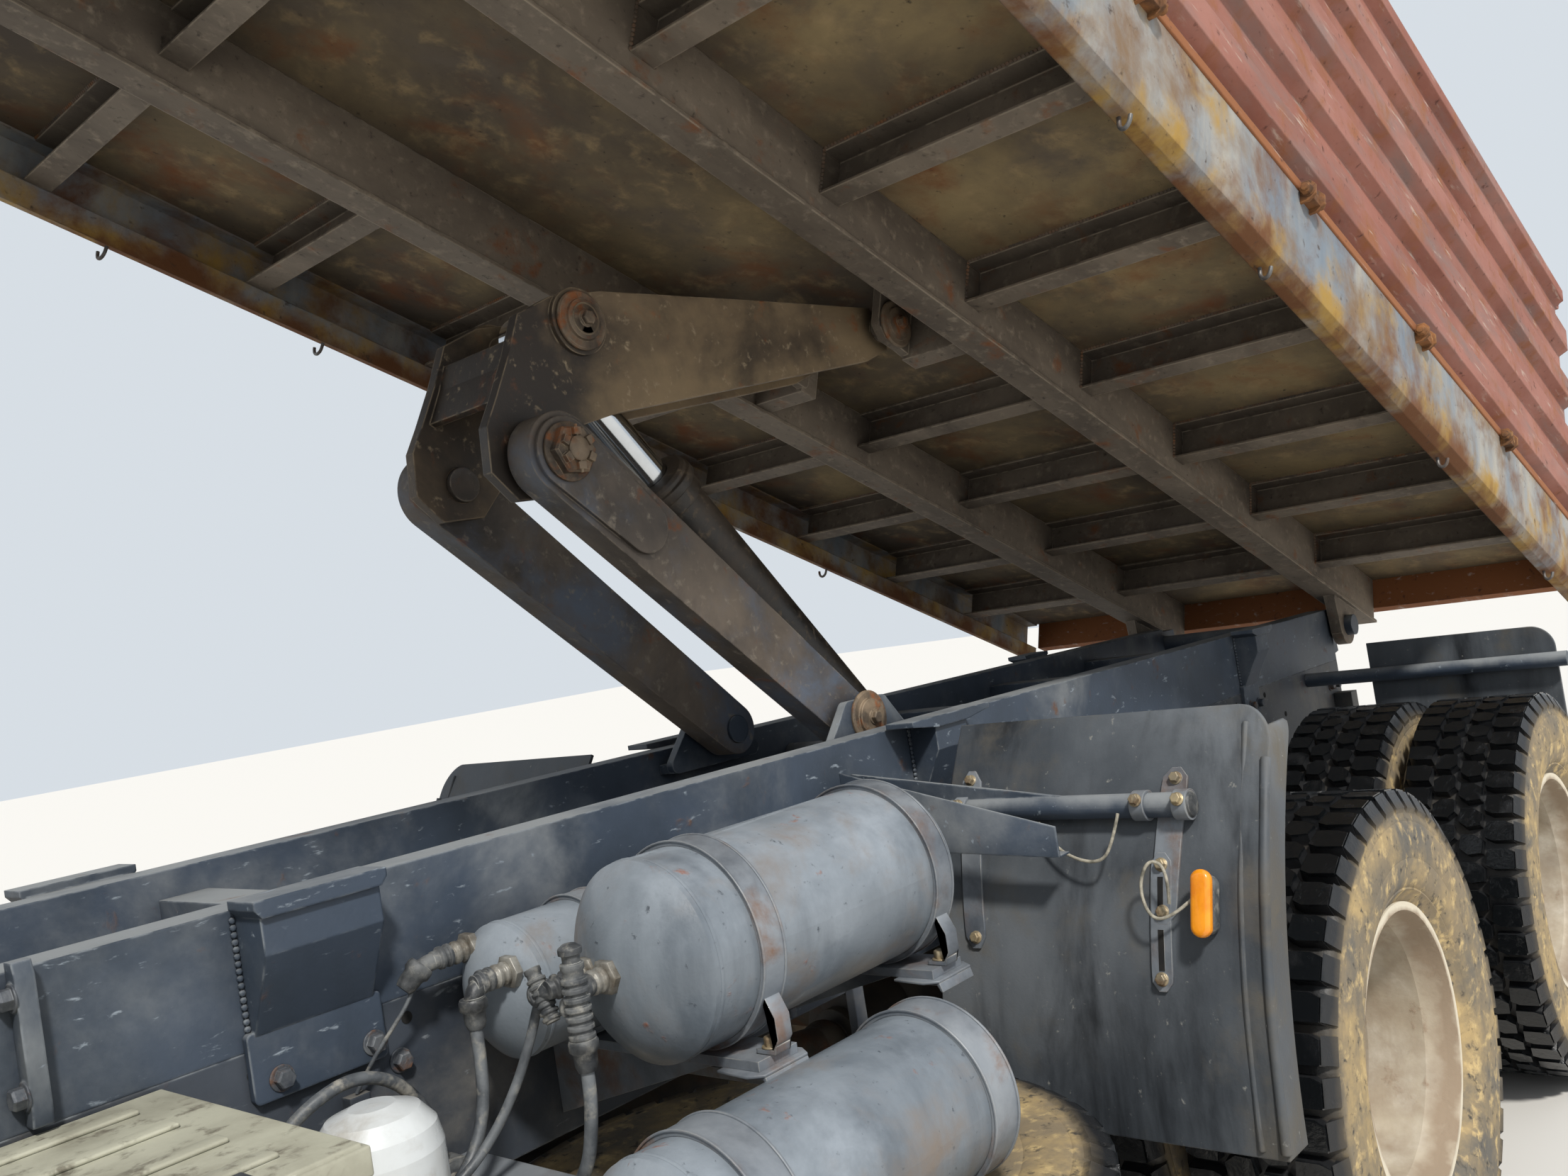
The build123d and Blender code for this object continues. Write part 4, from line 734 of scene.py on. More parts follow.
# Air tanks: three welded steel vessels in blue-grey enamel, with dark wet runs, a painted
# highlight of lighter enamel on their tops and rust blooms below. A seam ring stands where each dome is
# welded on.
TANK_ROWS = ((930, 1610, 745, 1142, 141), (960, 1640, 487, 1101, 100), (1150, 1800, 930, 855, 125))
tank_coat = finish("tank enamel", "6c747c", [
    # lighter enamel leaning slightly to faces that look up: painted highlight
    patch_layer("7b838a", 0.52, 1.6, 0.28, 0.50, 0.0, upward=0.05),
    patch_layer("555d65", 0.32, 5.0, 0.16, 0.32, 0.0, stretch=(1.2, 1.2, 0.22)),
    # lighter enamel on faces that look up: painted highlight on the tanks' tops
    patch_layer("959da5", 0.18, 3.4, 0.18, 0.60, 0.0, upward=0.10),
    patch_layer("776b60", 0.10, 6.0, 0.16, 0.80, 0.1, band=((0, 0, 1), 1.0, 0.80, 0.12)),
    patch_layer("8a4f2c", 0.05, 19.0, 0.07, 0.90, 0.6),
    patch_layer("3d444c", 0.07, 60.0, 0.06, 0.70, 0.2),
], rough=0.40, grain=180, coat=0.2)
dress(tank_coat, "air_tanks")
drain = turned([(0, 0), (14, 0), (14, 9), (8, 12), (8, 26), (0, 26)], 12, bolt_coat)
parts = []
for x0, x1, y, z, r in TANK_ROWS:
    ring = turned([(r - 1, -4), (r + 0.8, -3), (r + 1.6, 0), (r + 0.8, 3), (r - 1, 4)], 72, tank_coat,
                  closed=True)
    parts += [at(ring, (x, y, z), FORE) for x in (x0 + 0.45 * r + 12, x1 - 0.45 * r - 12)]
    parts.append(at(drain, ((x0 + x1) / 2, y, z - r + 2), DOWN))
piece("tank_seams", parts, "chassis", angle=40)

# Steel straps and the shelf they bolt to: each band narrows to a tongue whose bolt
# pulls it down on the shelf's outer edge. A rolled lip stands at each band's sides.
band_steel = finish("band steel", "757c84", [
    patch_layer("94999e", 0.46, 6.0, 0.22, 0.50, 0.1, upward=0.1),
    patch_layer("7a5a42", 0.26, 8.0, 0.12, 0.85, 0.4),
    patch_layer("4a5058", 0.36, 5.0, 0.2, 0.5, 0.1),
], rough=0.42, metal=0.25, edge=("a2a19c", 0.002, 0.7))
dress(band_steel, "tank_straps")
zinc = finish("zinc plate", "978c78", [
    patch_layer("c0ae8a", 0.44, 22.0, 0.2, 0.4, 0.1),
    patch_layer("6e5a44", 0.36, 30.0, 0.12, 0.7, 0.3),
], rough=0.4, metal=0.6, grain=220, edge=("d0c2a4", 0.002, 0.5))
strap_bolt = hex_bolt(20, 15, 15, zinc)
TONGUE = [(868, 1072), (876, 1072), (889, 1046), (889, 1016), (878, 1001), (846, 1001), (846, 995.5),
          (880, 995.5), (884, 1012), (884, 1044)]
SHELF_FOLD = [(858, 976), (884, 976), (888, 962), (884, 962), (878, 972), (858, 972)]
EAR = [(786, 846), (806, 846), (806, 880), (798, 884), (786, 880)]
parts = []
for x in (1030, 1440):
    shelf = [(x - 52, 800), (x + 52, 800), (x + 58, 862), (x + 44, 884), (x - 44, 884), (x - 58, 862)]
    parts += [(slab(TONGUE, x - 15, x + 15, "x", band_steel), CHASSIS),
              (slab(shelf, 976, 980, "z", band_steel), CHASSIS),
              (slab(SHELF_FOLD, x - 44, x + 44, "x", band_steel), CHASSIS),
              at(strap_bolt, (x, 862, 1001)), at(barrel(6, 0, 36, 12, zinc), (x, 862, 960))]
    parts += [at(hoop(r + 6, r + 9, -2, 2, 72, band_steel), (x + dx, y, z), FORE)
              for dx in (-22, 22) for x0, x1, y, z, r in TANK_ROWS[:2]]
low_lip = hoop(131, 134.5, -2, 2, 72, band_steel)
for x in (1200, 1650):
    parts += [at(low_lip, (x + dx, 930, 855), FORE) for dx in (-30, 30)]
    parts += [(slab(EAR, x - 20, x + 20, "x", band_steel), CHASSIS), at(strap_bolt, (x, 796, 882), (0, 0, 1))]
piece("strap_tongues", parts, "chassis", bevel=0.0012, angle=40)

# Push-in air fittings in black plastic with pale collars: a manifold on the outer
# tank's pole, elbows on both tanks, and a valve block on the frame.
black_plastic = finish("fitting plastic", "33363a", [
    patch_layer("6a6c6c", 0.46, 26.0, 0.2, 0.7, 0.1),
    patch_layer("8d8b84", 0.26, 50.0, 0.12, 0.8, 0.2),
    patch_layer("17181a", 0.30, 14.0, 0.2, 0.35, 0.0),
], rough=0.5, grain=260, edge=("a2a29c", 0.002, 0.6))
brass = finish("dull brass", "85827b", [
    patch_layer("b0ada4", 0.44, 30.0, 0.2, 0.35, 0.1),
    patch_layer("5e564a", 0.40, 24.0, 0.14, 0.7, 0.3),
], rough=0.4, metal=0.5, grain=240)
COLLAR_ROWS = [(0, 0), (15, 0), (17, 2), (17, 6), (14, 8), (14, 12), (17, 14), (17, 19), (13, 22), (13, 30),
               (0, 30)]
RIBBED = [(0, 0), (14, 0)]
for i in range(7):
    RIBBED += [(14, 3 + 12 * i), (18, 5 + 12 * i), (18, 10 + 12 * i), (14, 12 + 12 * i)]
RIBBED += [(14, 92), (16, 94), (16, 102), (0, 104)]
VALVE = [(1668, 800), (1742, 800), (1742, 862), (1726, 880), (1668, 880)]
pale_ring = turned(COLLAR_ROWS, 20, brass)
black_ring = turned(COLLAR_ROWS, 20, black_plastic)
union = joined("union", [(turned([(0, 0), (25, 0), (25, 11), (22, 13), (0, 13)], 6, brass), Matrix()),
                         (pale_ring, Matrix.Translation((0, 0, 13)))])
column = turned(RIBBED, 16, black_plastic)
cuff = turned([(0, 0), (18, 0), (20, 4), (20, 14), (16, 18), (15, 34), (12, 42), (0, 42)], 20, black_plastic)
small_cap = turned([(0, 0), (12, 0), (12, 10), (16, 12), (16, 20), (9, 25), (0, 25)], 12, black_plastic)


def elbow(*route):
    # an angled push-in fitting: a bent body with a cuff at its free end
    start, corner, end = [Vector(p) for p in route]
    way = end - corner
    return [bent([start, corner, end], 13, black_plastic, sides=4),
            at(cuff, end - way.normalized() * 12, way), at(black_ring, start, corner - start)]


parts = [at(column, (1675, 757, 1078)), at(small_cap, (1675, 757, 1180)), at(cuff, (1675, 757, 1082), DOWN),
         at(barrel(16, 0, 26, 14, black_plastic), (1648, 747, 1142), (1, 0.35, 0)),
         (column, CHASSIS @ Matrix.Translation((1660, 680, 1092)) @ Matrix.Rotation(math.radians(24), 4, "X")
          @ Matrix.Scale(0.75, 4)),
         at(small_cap, (1660, 716, 1118), (0.4, 1, 0)),
         (slab(VALVE, 377, 440, "y", black_plastic), CHASSIS),
         block((1955, 2025), (377, 436), (925, 985), black_plastic)]
parts += [at(union, spot, FORE) for spot in ((1607, 745, 1142), (1617, 545, 1141), (1600, 696, 1141),
                                             (1608, 438, 1167))]
parts += elbow((1655, 545, 1141), (1690, 545, 1141), (1690, 545, 1112))
parts += elbow((1640, 696, 1141), (1668, 690, 1138), (1652, 652, 1126))
parts += elbow((1646, 438, 1167), (1690, 434, 1166), (1700, 431, 1157))
parts += [at(pale_ring, spot, way) for spot, way in (((1695, 434, 850), OUT), ((1725, 434, 826), OUT),
                                                     ((1985, 434, 950), OUT), ((1962, 556, 892), FORE))]
piece("air_fittings", parts, "chassis", bevel=0.0008, angle=45)

# Air hoses: stiff nylon tube that hangs from the fittings to the dryer and valves,
# and a thin sensor lead. Each row gives the bore, the length in metres and the route.
hose_rubber = finish("hose nylon", "33373c", [
    patch_layer("6b6f72", 0.48, 14.0, 0.2, 0.6, 0.0),
    patch_layer("8e8b82", 0.24, 40.0, 0.12, 0.8, 0.1),
], rough=0.42, grain=200)
HOSES = (
    ("hose_inner_tank", 18, 0.348, "stiff", [
        (1640, 545, 1141), (1672, 545, 1141), (1690, 545, 1128), (1691, 545, 1090), (1692, 546, 1030),
        (1699, 548, 975), (1724, 551, 925), (1764, 555, 893), (1800, 558, 880)]),
    ("hose_manifold", 18, 0.569, "stiff", [
        (1632, 746, 1142), (1662, 752, 1141), (1675, 757, 1124), (1675, 757, 1060), (1676, 756, 990),
        (1684, 738, 905), (1700, 675, 855), (1704, 590, 838), (1698, 505, 842), (1695, 455, 850)]),
    ("hose_outer_tank", 14, 0.394, "stiff", [
        (1624, 696, 1141), (1656, 692, 1140), (1660, 668, 1132), (1646, 632, 1108), (1650, 610, 1060),
        (1670, 590, 1000), (1706, 575, 945), (1752, 563, 905), (1798, 556, 885)]),
    ("hose_dryer_arch", 18, 0.46, "stiff", [
        (1992, 402, 952), (1972, 424, 980), (1940, 440, 1010), (1890, 452, 1044), (1830, 456, 1056),
        (1768, 452, 1028), (1722, 446, 965), (1700, 432, 905), (1694, 408, 868)]),
    ("hose_dryer_feed", 16, 0.165, "stiff", [
        (1962, 562, 892), (1984, 560, 894), (2006, 540, 904), (2010, 500, 924), (1996, 462, 942),
        (1985, 440, 950)]),
    ("lead_sensor", 6, 0.246, "medium", [
        (1634, 438, 1167), (1684, 435, 1167), (1704, 431, 1150), (1716, 427, 1120), (1742, 416, 1088),
        (1772, 402, 1052), (1796, 390, 1012)]),
)
for name, bore, length, stiffness, route in HOSES:
    tube = curve_of(name, [CHASSIS @ Vector(p) for p in route], bore / 2000, 5, 16)
    tube.data.materials.append(hose_rubber)
    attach(tube, "chassis")

# Air dryer: a canister of white enamelled steel with a domed top, screwed down on its
# cast valve body. A pressed rim goes round it, and its ports take push-in collars.
white_coat = finish("white enamel", "d6dadb", [
    patch_layer("c3c6c6", 0.40, 4.0, 0.26, 0.4, 0.0),
    patch_layer("a6a29a", 0.20, 12.0, 0.14, 0.8, 0.1),
], rough=0.22, coat=0.5)
dress(white_coat, "air_dryer")
rim = turned([(84, 0), (88, 2), (89, 8), (86, 12), (84, 12)], 64, band_steel, closed=True)
parts = [at(rim, (1870, 560, z)) for z in (857, 876)]
parts += [at(pale_ring, (1808, 560, 876), (-1, 0, 0)), at(pale_ring, (1917, 560, 800), (1, 0, -0.4)),
          at(pale_ring, (1862, 630, 800), OUT)]
piece("dryer_rings", parts, "chassis", angle=40)

# Battery box: a moulded plastic cover with raised ribs and a deep outer edge. Two
# rubber latches pull it down over the steel tray on the frame.
box_plastic = finish("battery cover", "a9a897", [
    patch_layer("bcbba8", 0.52, 2.0, 0.28, 0.7, 0.0, upward=0.05),
    patch_layer("8a8777", 0.40, 5.0, 0.20, 0.75, 0.1),
    patch_layer("6c6759", 0.22, 30.0, 0.10, 0.85, 0.2),
], rough=0.6, edge=("d2d0c0", 0.003, 0.5))
dress(box_plastic, "battery_box")
parts = [block((2050, 2770), (382, 860), (1100.5, 1112), box_plastic),
         block((2044, 2776), (846, 866), (1076, 1108), box_plastic)]
parts += [block((2110, 2710), (y - 14, y + 14), (1112, 1118), box_plastic) for y in (450, 560, 680, 790)]
for x in (2180, 2640):
    parts += [block((x - 22, x + 22), (866, 874), (1000, 1116), black_plastic),
              block((x - 22, x + 22), (820, 874), (1112, 1121), black_plastic)]
piece("battery_lid", parts, "chassis", bevel=0.004, angle=40, segments=3)

# Mudguards: rolled plastic quarters, lighter above in a painted band of sunlight and wet below,
# with a rolled outer edge. Steel straps clamp each one to its stay tube.
GUARD_C, GUARD_R = (-596.5, 565.8), 1305.0
STAY_X, STAY_Z, STAY_R, STAY_DEG = 593.5, 1153.9, 22.0, 26.3
STRAP_ROWS = ((30, 640, 15, 676, 22), (29.5, 1077, 17.5, 1059, 24), (22.8, 1056, 12.6, 1054, 19))
guard_plastic = finish("guard plastic", "353a40", [
    patch_layer("43494f", 0.50, 2.0, 0.28, 0.60, 0.0),
    # painted sunlight: a lighter copy of the plastic on the upper, outer part that faces the sun
    patch_layer("6a6f74", 0.30, 1.7, 0.28, 0.80, 0.0, band=((0.25, 0.75, 1.0), 1.76, 2.05, 0.26)),
    patch_layer("202225", 0.20, 3.4, 0.18, 0.24, 0.0, stretch=(1.6, 2.4, 0.5), band=((0, 0, 1), 1.05, 0.75, 0.08)),
    patch_layer("5f584b", 0.08, 6.0, 0.18, 0.90, 0.1, band=((0, 1, 0), 1.15, 1.24, 0.12)),
    patch_layer("83837e", 0.05, 60.0, 0.06, 0.85, 0.1),
], rough=0.5, grain=200, edge=("6c6b66", 0.004, 0.5))
dress(guard_plastic, "mudguards", "dashboard")


def outward(deg):
    return Vector((math.cos(math.radians(deg)), 0, math.sin(math.radians(deg))))


def on_guard(deg, y, out=0.0):
    # a point on the guard's outer face, or lifted off it
    return Vector((GUARD_C[0], y, GUARD_C[1])) + outward(deg) * (GUARD_R + out)


def guard_strap(top_deg, top_y, low_deg, low_y, half, made):
    # a flat strap that follows the guard, rounded at both ends
    shape = bmesh.new()
    steps = 16
    rings = []
    for i in range(steps + 1):
        t = i / steps
        w = half * math.sqrt(max(0.12, 1 - max(0, abs(2 * t - 1) - 0.82) ** 2 / 0.0324))
        deg, y = top_deg + (low_deg - top_deg) * t, top_y + (low_y - top_y) * t
        rings.append([shape.verts.new(on_guard(deg, y + s * w, out)) for out, s in
                      ((0.6, -1), (0.6, 1), (6, 1), (6, -1))])
    for low, high in zip(rings, rings[1:]):
        for k in range(4):
            n = (k + 1) % 4
            shape.faces.new((low[k], low[n], high[n], high[k]))
    shape.faces.new(rings[0])
    shape.faces.new(rings[-1])
    return mesh_of(shape, "strap", made)


small_bolt = hex_bolt(17, 11, 12, zinc)
parts = []
for top_deg, top_y, low_deg, low_y, half in STRAP_ROWS:
    parts.append((guard_strap(top_deg, top_y, low_deg, low_y, half, band_steel), CHASSIS))
    parts += [at(small_bolt, on_guard(deg, y, 6), outward(deg))
              for deg, y in ((top_deg - 0.9, top_y), (low_deg + 0.9, low_y))]
slot = slab([(-0.2, -34), (0.8, -34), (0.8, 34), (-0.2, 34)], -5, 5, "z", hole_dark)
for deg in (19.5, 15.6):
    parts.append((slot, CHASSIS @ Matrix.Translation(on_guard(deg, 1055, 6.2))
                  @ Matrix.Rotation(-math.radians(deg), 4, "Y") @ Matrix.Rotation(math.radians(90), 4, "X")))
clamp = hoop(STAY_R + 0.3, STAY_R + 5, -13, 13, 32, band_steel)
for y in (648, 1025, 1104):
    parts += [at(clamp, (STAY_X, y, STAY_Z), OUT),
              at(small_bolt, (STAY_X + 24, y, STAY_Z + 14), outward(STAY_DEG))]
end_cap = turned([(0, 0), (STAY_R + 1, 0), (STAY_R + 3, 3), (STAY_R - 2, 9), (0, 11)], 32, black_plastic)
parts.append(at(end_cap, (STAY_X, 1112, STAY_Z), OUT))
parts.append(bent([on_guard(d, 1236) for d in (2, 9, 16, 23, 30)], 9, guard_plastic))
parts.append(bent([on_guard(d, 1196) for d in (2, 9, 16, 23, 33)], 6, guard_plastic, sides=2))
piece("guard_brackets", both_sides(parts), "chassis", angle=40)
wire_coat = finish("thin cable", "b9b3a2", [patch_layer("5c594f", 0.45, 40.0, 0.2, 0.8, 0.1)], rough=0.6)
WIRES = ([(640, 1000, 1150), (652, 985, 1095), (656, 960, 1066), (648, 905, 1070), (630, 850, 1096),
          (612, 820, 1130)],
         [(664, 1128, 1010), (684, 1100, 985), (690, 1058, 975), (684, 1040, 1030), (676, 1062, 1080),
          (668, 1092, 1060), (670, 1085, 1000)])
piece("guard_wires", [bent(route, 3, wire_coat, sides=2) for route in WIRES], "chassis", angle=60)

# Cantilever brackets: tapered pressed plates with a narrow lower flange that run out
# from the subframe to the guards' stay tubes.
BRACKET_ROWS = [(430.5, 1256), (906, 1141), (906, 1085), (566, 1098), (430.5, 1030)]
FLANGE_ROWS = [(440, 1036), (566, 1098), (906, 1085), (906, 1089), (565, 1102), (440, 1040)]
piece("guard_brackets_arms", both_sides([(slab(BRACKET_ROWS, 696, 700, "x", sub_coat), CHASSIS),
                                         (slab(FLANGE_ROWS, 664, 696, "x", sub_coat), CHASSIS)]),
      "chassis", bevel=0.001, angle=30)

# Lamps: amber side markers on the guards, with rounded lenses on rubber pads, and red
# and amber clusters on the rear bar. Red is the inner part of each rear cluster.
LAMP_TURN = Matrix.Translation((656.6, 1146, 997.3)) @ Matrix.Rotation(math.radians(-19), 4, "Y")
RED_BEHIND, RED_WITHIN = -2.0, 1.0
amber = finish("amber lens", "f39a1e", [patch_layer("d97a10", 0.4, 20.0, 0.2, 0.3, 0.0)], rough=0.22, coat=0.6)
lens_tree = amber.node_tree
lens_shader = lens_tree.nodes["Principled BSDF"]
lens_place = put(lens_tree, "ShaderNodeTexCoord", {})
lens_ways = put(lens_tree, "ShaderNodeSeparateXYZ", {0: lens_place.outputs["Object"]}).outputs
rear = number(lens_tree, "LESS_THAN", lens_ways["X"], RED_BEHIND)
inner = number(lens_tree, "LESS_THAN", number(lens_tree, "ABSOLUTE", lens_ways["Y"]), RED_WITHIN)
amber_tint = lens_shader.inputs["Base Color"].links[0].from_socket
feed(lens_tree, lens_shader, {"Base Color": blend(lens_tree, number(lens_tree, "MULTIPLY", rear, inner),
                                                  amber_tint, tone("b3201c"))})
dress(amber, "lamps")


def capsule(radius, half):
    # an upright outline with round ends
    turns = [(math.radians(t), half if t < 180 else -half) for t in range(0, 360, 15)]
    return [(radius * math.cos(t), shift + radius * math.sin(t)) for t, shift in turns]


lights = [(slab(capsule(18, 38), 9, 31, "x", amber), CHASSIS @ LAMP_TURN),
          (slab(capsule(17, 32), -19, 9, "x", black_plastic), CHASSIS @ LAMP_TURN),
          block((-2345, -2300), (780, 1120), (480, 600), amber)]
piece("lamp_lenses", both_sides(lights), "chassis", bevel=0.008, angle=40, replaces=("lamps",), segments=3)
parts = [block((-2346.5, -2344.8), (y - 3, y + 3), (484, 596), black_plastic) for y in (800, 900, 1000, 1100)]
parts += [block((-2347, -2298), (778, 1122), (z - 3, z + 3), black_plastic) for z in (482, 598)]
plate_white = finish("blank plate", "d9d9d2", [patch_layer("b9b5a8", 0.4, 8.0, 0.2, 0.5, 0.0)], rough=0.4)
parts = both_sides(parts) + [block((-2306, -2300.2), (-260, 260), (490, 600), plate_white)]
piece("lamp_frames", parts, "chassis", bevel=0.001, angle=40)

# Fuel tank and silencer: brushed alloy and heat-stained steel, with strap bands, a
# filler cap and an outlet pipe.
silver_coat = finish("tank alloy", "9a9c9c", [
    patch_layer("83827d", 0.45, 3.0, 0.24, 0.5, 0.1),
    patch_layer("6c6558", 0.25, 6.0, 0.16, 0.8, 0.1),
], rough=0.4, metal=0.7)
dress(silver_coat, "fuel_tank", "silencer")
tank_band = hoop(290.5, 294, -28, 28, 96, band_steel)
parts = [at(tank_band, (x, -690, 850), FORE) for x in (1530, 2170)]
cap = turned([(0, 0), (52, 0), (52, 18), (60, 22), (60, 44), (52, 50), (0, 50)], 32, black_plastic)
parts.append(at(cap, (1380, -800, 1112), (0, -0.4, 1)))
parts.append(bent([(2770, -640, 630), (2770, -640, 520), (2760, -660, 440), (2740, -760, 420),
                   (2730, -860, 418)], 45, silver_coat, sides=6))
parts += [block((x - 16, x + 16), (-852, -402), (1000.3, 1004), band_steel) for x in (2640, 2900)]
piece("tank_bands", parts, "chassis", angle=40)

# Cab: pressed steel shell in pale enamel, plastic grille and steps, glass, wipers,
# door pulls, roof seams and mirror faces.
CAB_FRONT = 5200.0
WINDSCREEN_FOOT, WINDSCREEN_LEAN = 1990.0, 210.0 / 910.0
shell_coat = finish("cab enamel", "c9ccca", [
    patch_layer("bcbdb8", 0.42, 1.6, 0.28, 0.40, 0.0, upward=0.05),
    patch_layer("9a9488", 0.26, 4.0, 0.16, 0.80, 0.1, stretch=(1, 1, 0.5), band=((0, 0, 1), 1.7, 1.1, 0.14)),
    patch_layer("8d8678", 0.16, 40.0, 0.10, 0.85, 0.1),
], rough=0.28, coat=0.5, edge=("a8a49a", 0.004, 0.3))
dress(shell_coat, "cab_shell", "door_left", "door_right")
trim_plastic = finish("trim plastic", "2c2f33", [
    patch_layer("45494e", 0.48, 3.0, 0.26, 0.7, 0.0),
    patch_layer("6d6a62", 0.24, 8.0, 0.16, 0.85, 0.1),
    patch_layer("1b1d20", 0.30, 5.0, 0.2, 0.4, 0.0),
], rough=0.55, grain=220, edge=("6a6d70", 0.004, 0.5))
dress(trim_plastic, "grille", "cab_steps", "mirrors", "bumper")
clear_lens = finish("headlamp lens", "dfe6ea", [patch_layer("b9c2c8", 0.5, 12.0, 0.2, 0.2, 0.2)], rough=0.12,
                    coat=0.6)
dress(clear_lens, "headlamps")


def filmed(name, colour, scale, detail, dullest, **inputs):
    # clear glass or bright metal under a thin uneven film of dust
    made, shader = plain(name, colour, **inputs)
    tree = made.node_tree
    place = put(tree, "ShaderNodeTexCoord", {}).outputs["Object"]
    film = put(tree, "ShaderNodeTexNoise", {"Vector": place, "Scale": scale, "Detail": detail})
    dull = put(tree, "ShaderNodeMapRange", {"Value": film.outputs[0], "To Min": 0.02, "To Max": dullest})
    feed(tree, shader, {"Roughness": dull.outputs[0]})
    return made


pane = filmed("window pane", (0.72, 0.84, 0.82), 5, 4, 0.16, Transmission_Weight=0.9, IOR=1.45)
dress(pane, "door_glass_left", "door_glass_right", "cab_glass")
parts = [block((CAB_FRONT + 9, CAB_FRONT + 21), (-744, 744), (z + 6, z + 22), trim_plastic)
         for z in (1300, 1410, 1520, 1630, 1740)]
parts += [block((CAB_FRONT + 8, CAB_FRONT + 24), (y - 9, y + 9), (1262, 1838), trim_plastic)
          for y in (-600, -200, 200, 600)]
for y in (-560, 0, 560):
    parts += [bent([(5206, y, 2010), (5222, y + 10, 2050), (5206, y + 150, 2240), (5180, y + 215, 2360)], 7,
                   trim_plastic),
              bent([(5216, y - 60, 2150), (5192, y + 120, 2300), (5165, y + 330, 2440)], 6, trim_plastic)]
for z in (2044, 2798):
    x_low, x_high = [CAB_FRONT - (h - WINDSCREEN_FOOT) * WINDSCREEN_LEAN for h in (z, z + 18)]
    seal = [(x_low - 4, z), (x_low + 6, z), (x_high + 6, z + 18), (x_high - 4, z + 18)]
    parts.append((slab(seal, -1066, 1066, "y", trim_plastic), CHASSIS))
VISOR = [(4985, 2868), (5140, 2790), (5148, 2780), (5136, 2776), (4980, 2846)]
parts.append((slab(VISOR, -1060, 1060, "y", trim_plastic), CHASSIS))
piece("cab_front_trim", parts, "cab", bevel=0.003, angle=40)
fittings = [bent([(4060, 1238, 1815), (4064, 1262, 1815), (4110, 1266, 1815), (4160, 1266, 1815),
                  (4170, 1238, 1815)], 9, trim_plastic),
            block((4050, 4185), (1230.4, 1233), (1790, 1842), trim_plastic),
            bent([(4180, 1188, 1880), (4300, 1176, 1878), (4460, 1176, 1878), (4560, 1188, 1880)], 12,
                 trim_plastic)]
fittings += [bent([(4010, 1229, z), (4300, 1233, z), (4600, 1233, z), (4930, 1229, z)], 6, shell_coat)
             for z in (1560, 1700)]
fittings += [block((4070, 4870), (1228, 1234), (z, z + 10), trim_plastic) for z in (1972, 2688)]
far_fittings = [(data, FAR_SIDE @ place) for data, place in fittings]
for side, parts in (("left", fittings), ("right", far_fittings)):
    piece("door_fittings_" + side, parts, "door_" + side, bevel=0.0015, angle=40)
mirror_face = filmed("mirror face", (0.82, 0.85, 0.86), 9, 2, 0.12, Metallic=1.0)
piece("mirror_faces", both_sides([block((4961.5, 4964.6), (1312, 1448), (2105, 2535), mirror_face)]), "cab",
      bevel=0.002)
seams = [bent([(x, -1090, 2950), (x, -500, 2952), (x, 500, 2952), (x, 1090, 2950)], 7, shell_coat)
         for x in (3350, 3650, 3950, 4250, 4550, 4750)]
seams += [bent([(3075, y, 1240), (3073, y, 1500), (3073, y, 1800), (3075, y, 1960)], 8, shell_coat)
          for y in (-700, -200, 200, 700)]
piece("cab_seams", seams, "cab", angle=40)

# Bumper and cab front: clear moulded headlamp lenses with upright ribs, and a blank
# pressed number plate screwed to the panel under the grille.
ribs = [block((5304, 5307.5), (y - 3, y + 3), (530, 670), clear_lens) for y in (830, 890, 950, 1010, 1070)]
piece("bumper_trim", both_sides(ribs), "chassis", bevel=0.0015, angle=40)
piece("front_plate", [block((5199.8, 5203), (-260, 260), (1136, 1244), plate_white)], "cab", bevel=0.001,
      angle=40)

# Seats: foam cushion and back in woven cloth with sewn channels, each shaped
# as a crowned form. A plastic pedestal with a pleated boot is bolted to the cab floor.
SEAT_Y = 680
seat_cloth = finish("seat cloth", "2e3036", [
    patch_layer("454953", 0.50, 5.0, 0.26, 0.9, 0.0),
    patch_layer("5c5f68", 0.30, 240.0, 0.16, 0.95, 0.4),
    patch_layer("6a6358", 0.22, 9.0, 0.2, 0.9, 0.0),
], rough=0.9, grain=900, relief=0.4)


def cushion(size, crown, channels, made, cuts=22):
    # a crowned closed form; channels are sewn across it at shares of its length
    shape = bmesh.new()
    bmesh.ops.create_cube(shape, size=2)
    bmesh.ops.subdivide_edges(shape, edges=shape.edges, cuts=cuts, use_grid_fill=True)
    for v in shape.verts:
        u, w, h = v.co
        reach = (abs(u) ** 7 + abs(w) ** 7 + abs(h) ** 7) ** (1 / 7)
        u, w, h = u / reach, w / reach, h / reach
        pinch = 1 - 0.03 * (u * u) * (w * w)
        side = 1 + 0.02 * (1 - h * h) * (1 - u * u)
        z = h * size[2] / 2
        if h > 0:
            z += crown * (1 - u * u) * (1 - w * w) * h
            for spot in channels:
                z -= 9 * math.exp(-((u - spot) / 0.035) ** 2) * h * (1 - w ** 8)
            z -= 7 * math.exp(-((abs(w) - 0.66) / 0.035) ** 2) * h * (1 - u ** 8)
        v.co = (u * size[0] / 2 * pinch, w * size[1] / 2 * pinch * side, z)
    return mesh_of(shape, "cushion", made)


